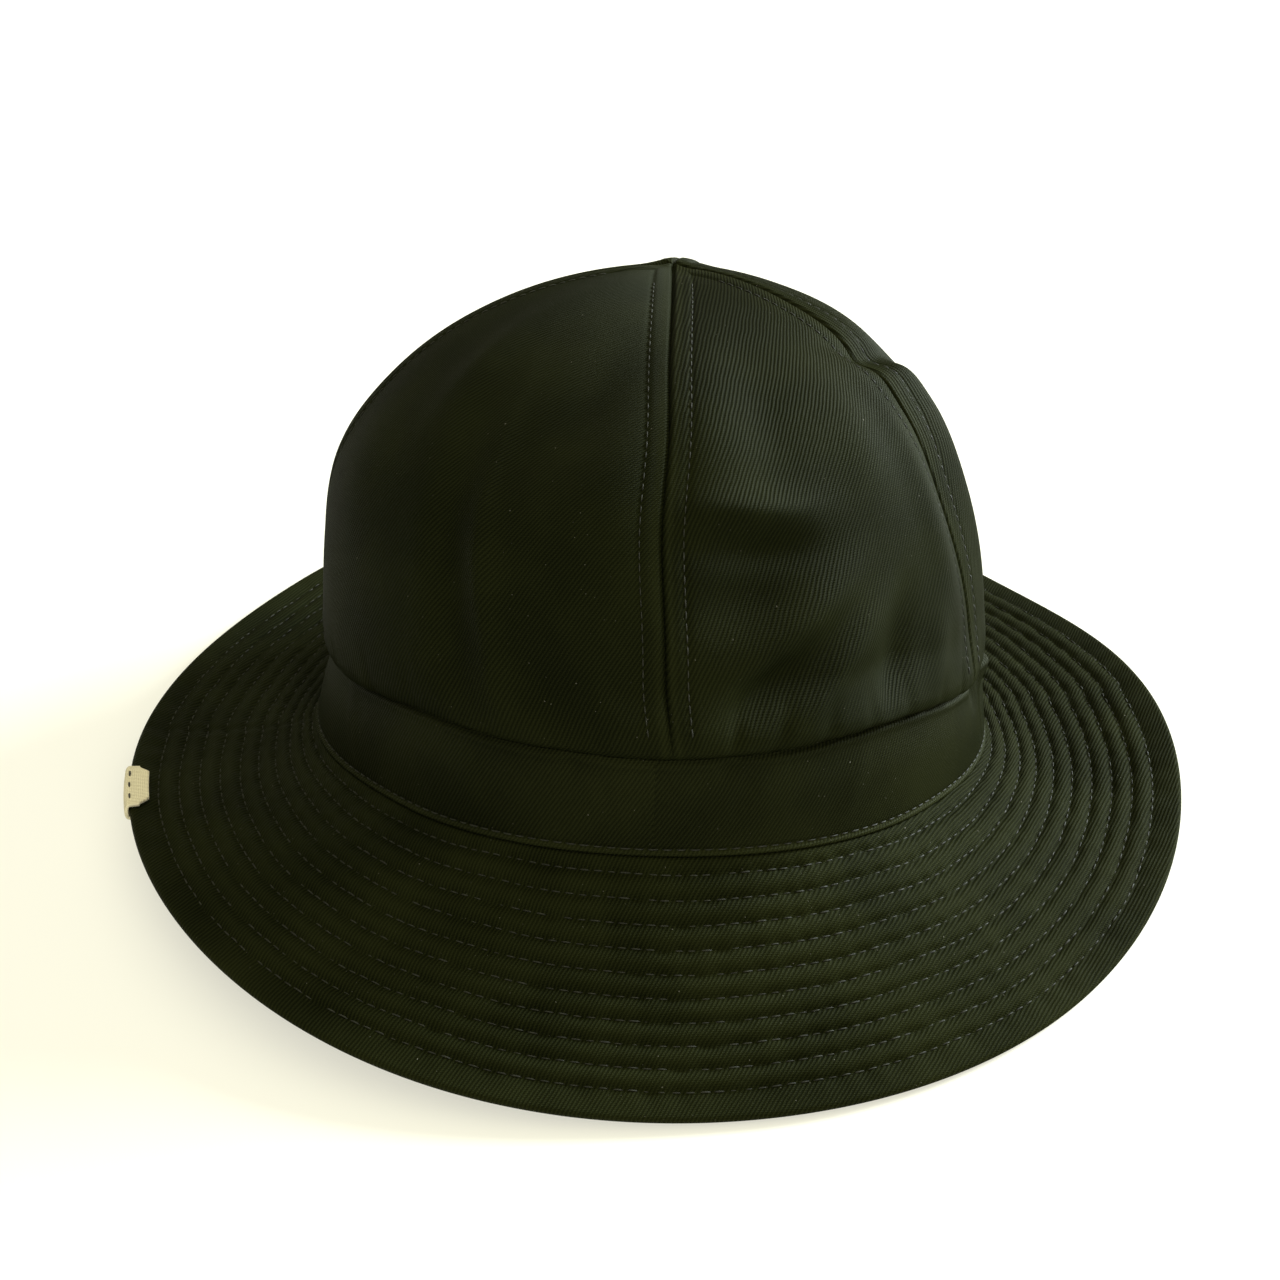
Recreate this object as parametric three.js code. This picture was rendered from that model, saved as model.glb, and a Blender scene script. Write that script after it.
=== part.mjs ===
import * as THREE from 'three';

// Soft cotton hunting hat, unworn, lying on its brim.
// Millimetres, +Z up, front towards -Y. Left and right are as seen from the front, so right is +X.
// Azimuth goes round the crown's axis in degrees, from the front (0) towards the right (90).
// The crown and its band lean back, so they are worked out upright in a turned group.

// Driving dimensions
const PIECE_GAP = 0.3;
const CROWN_WALL = 1.6;
const BAND_WALL = 2.0;
const BRIM_WALL = 2.6;
const TAB_WALL = 1.0;

const CROWN_LEAN = 13.3;
const CENTRE_SHIFT = { right: -0.08, back: -0.86 };
const HEAD_SEAM = { halfWidth: 88, halfDepth: 95.5, forward: 6, height: 16.6, dip: 7, saddle: 5 };
const BAND_HEIGHT = 25.6;
const BAND_BULGE = 0.6;

const BRIM_WIDTH = 59.6;
const BRIM_SAG = { front: 2.9, back: 0.5 };
const BRIM_TURN_IN = 2.6;
const BRIM_EDGE_ROUND = 0.8;
const BRIM_REST_WIDTH = 3.6;
const STITCH_ROWS = { count: 10, first: 3.5, pitch: 5.4, groove: 0.8 };

const TAB = { azimuth: -73.2, length: 18.5, leg: 5.2, cornerCut: 2.6 };

// Where the brim's edge is lifted off the surface that the hat lies on
const EDGE_LIFTS = [
  { side: 'front left', azimuth: -57, halfAngle: 67, size: 14.5 },
  { side: 'right', azimuth: 90, halfAngle: 43, size: 12.5 },
];

// Where the foot of the band is spread outwards over the brim; the spread fades towards the band's top
const FOOT_SPREADS = [
  { side: 'left', azimuth: -93, halfAngle: 48, size: 10.5 },
  { side: 'right', azimuth: 93, halfAngle: 44, size: 6.6 },
];
const SPREAD_FADE = 0.7;
const SPREAD_REACH = 0.55;

// Where the top of the band rises or dips; the crown's cloth follows it up to a height
const BAND_RISES = [
  { side: 'front', azimuth: 0, halfAngle: 20, size: -1.0 },
  { side: 'front left', azimuth: -43, halfAngle: 26, size: 2.4 },
  { side: 'front right', azimuth: 43, halfAngle: 30, size: 3.3 },
];
const BAND_RISE_REACH = 40;

// Crown sections: height above the band, radius, and how far the section is moved and squared off
const CROWN_SECTIONS = [
  { up: 0, radius: 91.7, right: -2.8, back: -8.0, square: 0 },
  { up: 11.2, radius: 92, right: -2.1, back: -5.5, square: 0.02 },
  { up: 28.2, radius: 90.6, right: -2.7, back: -2.8, square: 0.05 },
  { up: 47.4, radius: 85.6, right: -3.6, back: -1.0, square: 0.09 },
  { up: 64.9, radius: 74.3, right: -2.1, back: 0, square: 0.13 },
  { up: 79.1, radius: 57.4, right: -1.5, back: 0, square: 0.17 },
  { up: 90, radius: 35.7, right: -0.4, back: 0, square: 0.22 },
  { up: 95.1, radius: 15, right: 0.6, back: 0, square: 0.25 },
  { up: 96.3, radius: 0, right: 1.2, back: 0, square: 0.25 },
];

// How far the crown's cloth puffs out over the band, and droops below the band's top, every 45 degrees
const CROWN_FOOT = [
  { side: 'front', puff: 0.8, droop: 0.3 },
  { side: 'front right', puff: 3.0, droop: 0.6 },
  { side: 'right', puff: 0.8, droop: 0.2 },
  { side: 'back right', puff: 1.6, droop: 1.0 },
  { side: 'back', puff: 1.2, droop: 0.6 },
  { side: 'back left', puff: 2.0, droop: 1.0 },
  { side: 'left', puff: 3.2, droop: 1.4 },
  { side: 'front left', puff: 2.4, droop: 0.6 },
];
const FOOT_BLEND = 16;

// Four sewn panels between these seams: azimuth at the band, and how far it winds on by the crown's top
const SEAMS = {
  front: { azimuth: 2.5, wind: 0 },
  right: { azimuth: 67, wind: -8 },
  back: { azimuth: 170, wind: 0 },
  left: { azimuth: 273, wind: 0 },
};
const SEAM_RELIEF = { groove: 1.1, grooveReach: 1.4, welt: 0.6, weltReach: 5 };

// Soft folds (out) and dents (in), as smooth mounds turned by slant
const CROWN_FOLDS = [
  { at: 'right seam valley', azimuth: 63, up: 47, across: 5.5, along: 40, slant: 6, out: -2.8 },
  { at: 'rim before the valley', azimuth: 55, up: 44, across: 5, along: 38, slant: 6, out: 1.3 },
  { at: 'rim behind the valley', azimuth: 73, up: 45, across: 5, along: 36, slant: 6, out: 1.8 },
  { at: 'bulge behind the right seam', azimuth: 72, up: 68, across: 12, along: 14, slant: 0, out: 2.4 },
  { at: 'bulge at the upper right', azimuth: 82, up: 85, across: 14, along: 8, slant: 0, out: 1.8 },
  { at: 'front seam valley', azimuth: 2.5, up: 62, across: 7, along: 38, slant: 0, out: -2.0 },
  { at: 'thick seam behind the top', azimuth: 170, up: 88, across: 7, along: 12, slant: 0, out: 1.8 },
  { at: 'upright fold on the left', azimuth: -26, up: 33, across: 4, along: 28, slant: 9, out: 2.2 },
  { at: 'hollow left of that fold', azimuth: -33, up: 32, across: 6, along: 28, slant: 10, out: -2.8 },
  { at: 'slanting hollow at the lower left', azimuth: -17, up: 10, across: 6, along: 13, slant: 46, out: -2.2 },
  { at: 'fold right of that hollow', azimuth: -8.5, up: 16, across: 5, along: 15, slant: 32, out: 1.6 },
  { at: 'swell at the upper left', azimuth: -46, up: 77, across: 8, along: 14, slant: -8, out: 1.8 },
  { at: 'hollow right of that swell', azimuth: -15.5, up: 71, across: 8, along: 18, slant: -41, out: -1.8 },
  { at: 'upright hollow at the upper right', azimuth: 22, up: 67, across: 8, along: 15, slant: 0, out: -1.3 },
  { at: 'upright fold at the upper right', azimuth: 41, up: 66, across: 8, along: 16, slant: 0, out: 1.2 },
  { at: 'level fold on the right', azimuth: 18, up: 52, across: 5, along: 14, slant: 88, out: 2.4 },
  { at: 'hollow under the level fold', azimuth: 18, up: 43.5, across: 5, along: 14, slant: 89, out: -2.4 },
  { at: 'first slanting hollow', azimuth: 15.5, up: 35, across: 5.5, along: 16, slant: -66, out: -2.8 },
  { at: 'first slanting fold', azimuth: 22, up: 25.5, across: 5, along: 20, slant: -56, out: 2.8 },
  { at: 'second slanting hollow', azimuth: 17, up: 14, across: 5, along: 15, slant: -51, out: -2.8 },
  { at: 'second slanting fold', azimuth: 29.5, up: 16, across: 5, along: 18, slant: -48, out: 2.4 },
  { at: 'third slanting hollow', azimuth: 40, up: 12.5, across: 5, along: 16, slant: -57, out: -2.6 },
];
const BAND_FOLDS = [
  { at: 'pucker under the right seam', azimuth: 91, up: 22, across: 6, along: 7, slant: 0, out: 2.2 },
  { at: 'hollow before the pucker', azimuth: 81, up: 17, across: 5.5, along: 9, slant: 0, out: -1.0 },
];

// Mesh steps
const AZIMUTH_STEPS = 80;
const FRONT_PANEL_COLUMNS = 20;
const BACK_PANEL_COLUMNS = 12;
const PANEL_ROWS = 16;
const BAND_ROWS = 4;
const TAB_COLUMNS = 6;

const { degToRad, smoothstep, lerp } = THREE.MathUtils;

// Smooth closed curve through equally spaced stations round the hat
function stationCurve(values) {
  const count = values.length;
  return (azimuth) => {
    let total = 0;
    for (let wave = 0; wave <= count / 2; wave += 1) {
      const weight = wave === 0 || wave === count / 2 ? 1 / count : 2 / count;
      values.forEach((value, k) => {
        total += weight * value * Math.cos(wave * degToRad(azimuth - (360 * k) / count));
      });
    }
    return total;
  };
}

// Natural cubic spline through values at 0, 1, 2, ...
function sectionCurve(values) {
  const last = values.length - 1;
  const bend = new Array(last + 1).fill(0);
  const ratio = new Array(last + 1).fill(0);
  for (let k = 1; k < last; k += 1) {
    const pivot = 4 + ratio[k - 1];
    ratio[k] = -1 / pivot;
    bend[k] = (6 * (values[k + 1] - 2 * values[k] + values[k - 1]) - bend[k - 1]) / pivot;
  }
  for (let k = last - 1; k > 0; k -= 1) {
    bend[k] += ratio[k] * bend[k + 1];
  }
  return (t) => {
    const k = Math.min(Math.floor(t), last - 1);
    const b = t - k;
    const a = 1 - b;
    const arch = ((a ** 3 - a) * bend[k] + (b ** 3 - b) * bend[k + 1]) / 6;
    return a * values[k] + b * values[k + 1] + arch;
  };
}

const column = (table, name) => table.map((row) => row[name]);
const crownUp = sectionCurve(column(CROWN_SECTIONS, 'up'));
const crownRadius = sectionCurve(column(CROWN_SECTIONS, 'radius'));
const crownRight = sectionCurve(column(CROWN_SECTIONS, 'right'));
const crownBack = sectionCurve(column(CROWN_SECTIONS, 'back'));
const crownSquare = sectionCurve(column(CROWN_SECTIONS, 'square'));
const footPuff = stationCurve(column(CROWN_FOOT, 'puff'));
const footDroop = stationCurve(column(CROWN_FOOT, 'droop'));
const CROWN_TOP = CROWN_SECTIONS.length - 1;
const CROWN_HEIGHT = CROWN_SECTIONS[CROWN_TOP].up;

const hat = new THREE.Group();
const crown = new THREE.Group();
crown.position.set(CENTRE_SHIFT.right, CENTRE_SHIFT.back, HEAD_SEAM.height);
crown.rotation.x = -degToRad(CROWN_LEAN);
crown.updateMatrixWorld();
hat.add(crown);

const cloth = (color) => new THREE.MeshStandardMaterial({ color, roughness: 0.95, metalness: 0 });

// Level unit vector out of the hat at an azimuth
function outward(azimuth) {
  const angle = degToRad(azimuth);
  return new THREE.Vector3(Math.sin(angle), -Math.cos(angle), 0);
}

// Signed turn from one azimuth to another, -180 to 180
const turnFrom = (from, azimuth) => THREE.MathUtils.euclideanModulo(azimuth - from + 180, 360) - 180;

// Sum of smooth swells round the hat at an azimuth
function swell(table, azimuth) {
  let total = 0;
  for (const { azimuth: middle, halfAngle, size } of table) {
    const away = Math.abs(turnFrom(middle, azimuth)) / halfAngle;
    total += away < 1 ? size * Math.cos((Math.PI / 2) * away) ** 2 : 0;
  }
  return total;
}

// Sum of folds and dents at a place on the crown or the band
function foldHeight(table, azimuth, up, radius) {
  let total = 0;
  for (const fold of table) {
    const x = degToRad(turnFrom(fold.azimuth, azimuth)) * radius;
    const y = up - fold.up;
    const angle = degToRad(fold.slant);
    const across = (x * Math.cos(angle) + y * Math.sin(angle)) / fold.across;
    const along = (y * Math.cos(angle) - x * Math.sin(angle)) / fold.along;
    total += fold.out * Math.exp(-(across ** 2) - along ** 2);
  }
  return total;
}

// Curve where band and brim are sewn together, in the crown's upright frame, moved out and up
function seamRise(azimuth) {
  const angle = degToRad(azimuth);
  return HEAD_SEAM.saddle * Math.cos(2 * angle) - HEAD_SEAM.dip * Math.cos(angle);
}
function headSeam(azimuth, out = 0, up = 0) {
  const way = outward(azimuth);
  const fade = 1 - SPREAD_FADE * THREE.MathUtils.clamp(up / BAND_HEIGHT, 0, 1);
  const spread = out + fade * swell(FOOT_SPREADS, azimuth);
  return new THREE.Vector3(
    (HEAD_SEAM.halfWidth + spread) * way.x,
    (HEAD_SEAM.halfDepth + spread) * way.y - HEAD_SEAM.forward,
    seamRise(azimuth) + up,
  );
}

// Surface between two grids of points: outer faces out, inner faces in, the four rims closed
function wallSolid(outer, inner) {
  const rows = outer.length;
  const columns = outer[0].length;
  const points = [...outer.flat(), ...inner.flat()];
  const faces = [];
  const outerAt = (r, c) => r * columns + c;
  const innerAt = (r, c) => rows * columns + r * columns + c;
  const quad = (a, b, c, d) => faces.push(a, b, c, a, c, d);
  for (let r = 0; r < rows - 1; r += 1) {
    for (let c = 0; c < columns - 1; c += 1) {
      quad(outerAt(r, c), outerAt(r, c + 1), outerAt(r + 1, c + 1), outerAt(r + 1, c));
      quad(innerAt(r, c), innerAt(r + 1, c), innerAt(r + 1, c + 1), innerAt(r, c + 1));
    }
    quad(outerAt(r, 0), outerAt(r + 1, 0), innerAt(r + 1, 0), innerAt(r, 0));
    const end = columns - 1;
    quad(outerAt(r, end), innerAt(r, end), innerAt(r + 1, end), outerAt(r + 1, end));
  }
  for (let c = 0; c < columns - 1; c += 1) {
    quad(outerAt(0, c), innerAt(0, c), innerAt(0, c + 1), outerAt(0, c + 1));
    const top = rows - 1;
    quad(outerAt(top, c), outerAt(top, c + 1), innerAt(top, c + 1), innerAt(top, c));
  }
  return meshOf(points, faces);
}

// Ring made of closed sections, one for each azimuth step, listed anticlockwise as seen along the azimuth
function ringSolid(sections) {
  const around = sections.length;
  const sides = sections[0].length;
  const at = (a, s) => (a % around) * sides + (s % sides);
  const faces = [];
  for (let a = 0; a < around; a += 1) {
    for (let s = 0; s < sides; s += 1) {
      faces.push(at(a, s), at(a + 1, s), at(a + 1, s + 1), at(a, s), at(a + 1, s + 1), at(a, s + 1));
    }
  }
  return meshOf(sections.flat(), faces);
}

function meshOf(points, faces) {
  const geometry = new THREE.BufferGeometry().setFromPoints(points);
  geometry.setIndex(faces);
  geometry.computeVertexNormals();
  return geometry;
}

const ringTurn = (k) => (360 * k) / AZIMUTH_STEPS;
const azimuthRing = (make) => Array.from({ length: AZIMUTH_STEPS }, (_, k) => make(ringTurn(k)));

// Brim: its fall from the head seam to its edge, before the foot of the band is spread over it
const edgeLift = (azimuth) => swell(EDGE_LIFTS, azimuth);
function brimSlope(azimuth) {
  const foot = crown.localToWorld(headSeam(azimuth));
  const seam = crown.localToWorld(headSeam(azimuth, -swell(FOOT_SPREADS, azimuth)));
  const drop = edgeLift(azimuth) + BRIM_WALL - seam.z;
  const run = Math.sqrt(BRIM_WIDTH ** 2 - drop ** 2);
  const sag = lerp(BRIM_SAG.back, BRIM_SAG.front, smoothstep(Math.cos(degToRad(azimuth)), -1, 0));
  return { foot, seam, drop, run, sag, way: outward(azimuth) };
}

// Point of the brim a given distance out from the seam and a given depth under its upper face
function brimPoint({ foot, seam, drop, run, sag, way }, distance, depth = 0) {
  const t = distance / BRIM_WIDTH;
  const fall = drop - 4 * sag * (1 - 2 * t);
  const length = Math.hypot(run, fall);
  const out = run * t + (fall / length) * depth;
  const up = drop * t - 4 * sag * t * (1 - t) - (run / length) * depth;
  const start = seam.clone().lerp(foot, Math.max(1 - t / SPREAD_REACH, 0) ** 2);
  return start.addScaledVector(way, out).setZ(start.z + up);
}

function brimSection(azimuth) {
  const slope = brimSlope(azimuth);
  const rest = edgeLift(azimuth);
  const turnedIn = (depth) => crown.localToWorld(headSeam(azimuth, -BRIM_TURN_IN, -depth));
  const edge = BRIM_WIDTH - BRIM_EDGE_ROUND;
  const { count, first, pitch, groove } = STITCH_ROWS;
  const section = [turnedIn(0), brimPoint(slope, 0)];
  for (let k = 0; k < count; k += 1) {
    const row = first + pitch * k;
    section.push(brimPoint(slope, row - (k === 0 ? first : pitch) / 2));
    section.push(brimPoint(slope, row, groove));
  }
  section.push(brimPoint(slope, (first + pitch * (count - 1) + edge) / 2));
  section.push(brimPoint(slope, edge));
  section.push(brimPoint(slope, BRIM_WIDTH, BRIM_WALL / 2));
  section.push(brimPoint(slope, edge, BRIM_WALL).setZ(rest));
  section.push(brimPoint(slope, BRIM_WIDTH - BRIM_REST_WIDTH, BRIM_WALL).setZ(rest));
  for (const part of [0.66, 0.33, 0]) {
    section.push(brimPoint(slope, BRIM_WIDTH * part, BRIM_WALL));
  }
  section.push(turnedIn(BRIM_WALL));
  return section.reverse();
}

const brim = new THREE.Mesh(ringSolid(azimuthRing(brimSection)), cloth(0x14150f));
brim.name = 'brim';
hat.add(brim);

// Band: an upright strip standing on the brim's turned-in rim
const bandRise = (azimuth) => swell(BAND_RISES, azimuth);
function bandPoint(azimuth, part, depth) {
  const up = lerp(PIECE_GAP, BAND_HEIGHT + bandRise(azimuth), part);
  const bulge = BAND_BULGE * Math.sin(Math.PI * part);
  const folds = foldHeight(BAND_FOLDS, azimuth, up, HEAD_SEAM.halfWidth) * Math.sin(Math.PI * part);
  return headSeam(azimuth, bulge + folds - depth, up);
}
function bandSection(azimuth) {
  const parts = Array.from({ length: BAND_ROWS + 1 }, (_, k) => k / BAND_ROWS);
  const outer = parts.map((part) => bandPoint(azimuth, part, 0));
  const inner = parts.map((part) => bandPoint(azimuth, part, BAND_WALL));
  return [...outer, ...inner.reverse()];
}

const band = new THREE.Mesh(ringSolid(azimuthRing(bandSection)), cloth(0x15160f));
band.name = 'hat_band';
crown.add(band);

// Crown: azimuth of a seam at station t
function seamAzimuth({ azimuth, wind }, t) {
  return azimuth + (wind * crownUp(t)) / CROWN_HEIGHT;
}

// How far a section is drawn in between two seams, 1 at a seam
function squaring(azimuth, t) {
  const ways = Object.values(SEAMS).map((seam) => seamAzimuth(seam, t));
  const turn = THREE.MathUtils.euclideanModulo(azimuth - ways[0], 360) + ways[0];
  const next = ways.findIndex((way) => way > turn);
  const low = next === -1 ? ways.at(-1) : ways[next - 1];
  const high = next === -1 ? ways[0] + 360 : ways[next];
  const half = (high - low) / 2;
  return Math.cos(degToRad(half)) / Math.cos(degToRad(turn - low - half));
}

// Outer point and outward way of the plain crown at station t, before folds and seams
function crownForm(azimuth, t) {
  const way = outward(azimuth);
  const up = crownUp(t);
  const radius = crownRadius(t) * (1 - crownSquare(t) * (1 - squaring(azimuth, t)));
  const body = new THREE.Vector3(radius * way.x + crownRight(t), radius * way.y + crownBack(t), 0);
  const foot = headSeam(azimuth, footPuff(azimuth), BAND_HEIGHT).setZ(0);
  const point = foot.lerp(body, smoothstep(up, 0, FOOT_BLEND));
  const followed = bandRise(azimuth) * Math.max(1 - up / BAND_RISE_REACH, 0) ** 2;
  point.z = BAND_HEIGHT + up + seamRise(azimuth) * (1 - up / CROWN_HEIGHT) ** 2 + followed;
  const step = 0.01;
  const from = Math.min(t, CROWN_TOP - step);
  const rise = crownUp(from + step) - crownUp(from);
  const spread = crownRadius(from + step) - crownRadius(from);
  const normal = way.clone().multiplyScalar(rise).setZ(-spread).normalize();
  return { point, normal, up, radius };
}

// Raised welt with a groove in its middle, by distance from a seam
function seamHeight(distance) {
  const { groove, grooveReach, welt, weltReach } = SEAM_RELIEF;
  const raised = welt * Math.exp(-((distance / weltReach) ** 4));
  return raised - (groove + welt) * Math.exp(-((distance / grooveReach) ** 2));
}

// Columns of a panel crowd towards its two seams: distances from the nearer seam
const SEAM_COLUMNS = [PIECE_GAP / 2, 1.8, 5.2];
function panelColumns(arc, count) {
  const near = SEAM_COLUMNS.map((distance, k) => Math.min(distance, (arc * (k + 0.5)) / count));
  const inside = count - 2 * near.length + 1;
  const places = [...near];
  for (let k = 1; k <= inside; k += 1) {
    places.push(lerp(near.at(-1), arc - near.at(-1), k / (inside + 1)));
  }
  return [...places, ...near.toReversed().map((distance) => arc - distance)];
}

function panelPoints(from, to, columns, t) {
  const low = seamAzimuth(from, t);
  const wrap = to.azimuth < from.azimuth ? 360 : 0;
  const high = seamAzimuth(to, t) + wrap;
  const span = degToRad(high - low);
  const { radius } = crownForm((low + high) / 2, t);
  const arc = Math.max(span * radius, span * 0.5);
  return panelColumns(arc, columns).map((place) => {
    const azimuth = low + ((high - low) * place) / arc;
    const form = crownForm(azimuth, t);
    const seam = seamHeight(Math.min(place, arc - place));
    const relief = foldHeight(CROWN_FOLDS, azimuth, form.up, form.radius) + seam;
    const fade = smoothstep(form.up, 0, FOOT_BLEND);
    const outer = form.point.clone().addScaledVector(form.normal, relief * fade);
    const inner = outer.clone().addScaledVector(form.normal, -CROWN_WALL);
    return { azimuth, outer, inner };
  });
}

// The panel's foot: its lip sits on the band, turns out and down, and rises again as the puffed crown wall
function footRows(columns) {
  const lip = [];
  for (const { azimuth } of columns) {
    const top = BAND_HEIGHT + bandRise(azimuth) + PIECE_GAP;
    const puff = footPuff(azimuth);
    const droop = footDroop(azimuth);
    lip.push({
      outer: [
        headSeam(azimuth, PIECE_GAP, top),
        headSeam(azimuth, PIECE_GAP + 0.45 * puff, top - droop),
        headSeam(azimuth, PIECE_GAP + 0.8 * puff, top + 1.5 - 0.5 * droop),
      ],
      inner: [
        headSeam(azimuth, -CROWN_WALL, top),
        headSeam(azimuth, 0.5 * puff - CROWN_WALL, top + CROWN_WALL),
        headSeam(azimuth, 0.9 * puff - CROWN_WALL, top + 2 * CROWN_WALL),
      ],
    });
  }
  return [0, 1, 2].map((row) => ({
    outer: lip.map((entry) => entry.outer[row]),
    inner: lip.map((entry) => entry.inner[row]),
  }));
}

const FOOT_STATION = 0.45;
const TIP_STATION = CROWN_TOP - 0.02;
function crownPanel({ from, to, columns }) {
  const rows = [];
  for (let k = 0; k < PANEL_ROWS; k += 1) {
    rows.push(panelPoints(from, to, columns, lerp(FOOT_STATION, TIP_STATION, k / (PANEL_ROWS - 1))));
  }
  const foot = footRows(rows[0]);
  const outer = [...foot.map((row) => row.outer), ...rows.map((row) => row.map((entry) => entry.outer))];
  const inner = [...foot.map((row) => row.inner), ...rows.map((row) => row.map((entry) => entry.inner))];
  return wallSolid(outer, inner);
}

const FRONT = { columns: FRONT_PANEL_COLUMNS };
const BACK = { columns: BACK_PANEL_COLUMNS };
const PANELS = [
  { name: 'crown_panel_front_right', from: SEAMS.front, to: SEAMS.right, color: 0x171810, ...FRONT },
  { name: 'crown_panel_back_right', from: SEAMS.right, to: SEAMS.back, color: 0x16170f, ...BACK },
  { name: 'crown_panel_back_left', from: SEAMS.back, to: SEAMS.left, color: 0x13140e, ...BACK },
  { name: 'crown_panel_front_left', from: SEAMS.left, to: SEAMS.front, color: 0x13140e, ...FRONT },
];
for (const plan of PANELS) {
  const panel = new THREE.Mesh(crownPanel(plan), cloth(plan.color));
  panel.name = plan.name;
  crown.add(panel);
}

// Ribbon tab folded round the brim's edge, with its corners cut off
function tabRow(azimuth, leg) {
  const slope = brimSlope(azimuth);
  const over = -PIECE_GAP;
  const under = BRIM_WALL + PIECE_GAP;
  const middle = BRIM_WALL / 2;
  const layer = (cover) => [
    brimPoint(slope, BRIM_WIDTH - leg, under + cover),
    brimPoint(slope, BRIM_WIDTH - leg / 2, under + cover),
    brimPoint(slope, BRIM_WIDTH + PIECE_GAP + cover / 2, under + cover),
    brimPoint(slope, BRIM_WIDTH + PIECE_GAP + cover, middle),
    brimPoint(slope, BRIM_WIDTH + PIECE_GAP + cover / 2, over - cover),
    brimPoint(slope, BRIM_WIDTH - leg / 2, over - cover),
    brimPoint(slope, BRIM_WIDTH - leg, over - cover),
  ];
  return { outer: layer(TAB_WALL), inner: layer(0) };
}

function tabSolid() {
  const edgeRadius = HEAD_SEAM.halfWidth + BRIM_WIDTH;
  const halfAngle = THREE.MathUtils.radToDeg(TAB.length / 2 / edgeRadius);
  const columns = [];
  for (let k = 0; k <= TAB_COLUMNS; k += 1) {
    const cut = k === 0 || k === TAB_COLUMNS ? TAB.cornerCut : 0;
    columns.push(tabRow(TAB.azimuth + halfAngle * (2 * (k / TAB_COLUMNS) - 1), TAB.leg - cut));
  }
  const turned = (side) => columns[0][side].map((_, row) => columns.map((entry) => entry[side][row]));
  return wallSolid(turned('outer'), turned('inner'));
}

const tab = new THREE.Mesh(tabSolid(), cloth(0xd9d0b0));
tab.name = 'brim_tab';
hat.add(tab);

export default hat;
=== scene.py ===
# %% [markdown]
# # A soft cotton hunting hat
# The hat lies on its brim. It is sewn from near-black cotton twill: four crown panels, an upright band,
# a wide brim quilted in ten rows, and a small ribbon tab folded over the brim's edge.
# The CAD frame holds plain solids of these pieces. This lesson dresses them in finer cloth: the same
# formulas run here on a much closer grid, with a few more and deeper folds, and stitches, weave and pale
# specks of lint are added on top.

# %% Load the frame
import math

import bpy
import numpy as np
from mathutils import Matrix


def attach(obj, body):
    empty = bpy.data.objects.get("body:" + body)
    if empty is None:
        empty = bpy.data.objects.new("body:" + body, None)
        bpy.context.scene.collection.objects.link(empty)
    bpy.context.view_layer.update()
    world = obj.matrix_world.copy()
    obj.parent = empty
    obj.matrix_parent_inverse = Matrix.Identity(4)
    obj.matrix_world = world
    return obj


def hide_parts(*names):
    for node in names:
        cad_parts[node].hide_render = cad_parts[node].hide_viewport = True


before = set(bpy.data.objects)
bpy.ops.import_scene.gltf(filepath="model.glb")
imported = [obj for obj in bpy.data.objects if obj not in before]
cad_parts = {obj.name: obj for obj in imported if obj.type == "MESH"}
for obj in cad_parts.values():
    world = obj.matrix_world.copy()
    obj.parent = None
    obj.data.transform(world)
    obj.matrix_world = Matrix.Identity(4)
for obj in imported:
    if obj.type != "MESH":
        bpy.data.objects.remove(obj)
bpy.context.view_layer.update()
print("frame nodes:", sorted(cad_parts))

# %% [markdown]
# ## Sizes
# All lengths are millimetres, as in the CAD source, and become metres only when a mesh is written.
# Azimuth is the turn round the crown in degrees: 0 is the front, 90 the right as seen from the front.
# Short tables say where the brim lifts off the table, where the band's foot spreads, and how the crown's
# section changes with height.

# %% Sizes of the hat
MM = 0.001
PIECE_GAP = 0.3
CROWN_WALL = 1.6
BAND_WALL = 2.0
BRIM_WALL = 2.6
CROWN_LEAN = math.radians(13.3)
CENTRE_SHIFT = (-0.08, -0.86)
SEAM_HALF_WIDTH = 88
SEAM_HALF_DEPTH = 95.5
SEAM_FORWARD = 6
SEAM_HEIGHT = 16.6
SEAM_DIP = 7
SEAM_SADDLE = 5
BAND_HEIGHT = 25.6
BAND_BULGE = 0.6
BRIM_WIDTH = 59.6
BRIM_SAG_FRONT = 2.9
BRIM_SAG_BACK = 0.5
SPREAD_FADE = 0.7
SPREAD_REACH = 0.55
EDGE_LIFTS = [(-57, 67, 14.5), (90, 43, 12.5)]
FOOT_SPREADS = [(-93, 48, 10.5), (93, 44, 6.6)]
BAND_RISES = [(0, 20, -1.0), (-43, 26, 2.4), (43, 30, 3.3), (80, 12, 4.0)]
BAND_RISE_REACH = 40
print(len(EDGE_LIFTS), "edge lifts,", len(FOOT_SPREADS), "foot spreads,", len(BAND_RISES), "band rises")

# %% [markdown]
# ## Shape formulas round the hat
# A form that repeats round an axis is easiest to describe by azimuth. NumPy works out whole rows at once,
# so the same few lines serve a single stitch path and a grid of a hundred thousand points.


# %% Formulas for the head seam
def outward(azimuth):
    """Level unit vector out of the hat."""
    angle = np.radians(azimuth)
    return np.stack([np.sin(angle), -np.cos(angle), np.zeros_like(angle)], axis=-1)


def turn_from(start, azimuth):
    return np.mod(azimuth - start + 180, 360) - 180


def smooth_step(value, low, high):
    part = np.clip((value - low) / (high - low), 0, 1)
    return part * part * (3 - 2 * part)


def swell(table, azimuth):
    """Sum of smooth swells, each given by its middle, half angle and size."""
    total = np.zeros_like(azimuth, dtype=float)
    for middle, half_angle, size in table:
        away = np.clip(np.abs(turn_from(middle, azimuth)) / half_angle, 0, 1)
        total = total + size * np.cos(np.pi / 2 * away) ** 2
    return total


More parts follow.
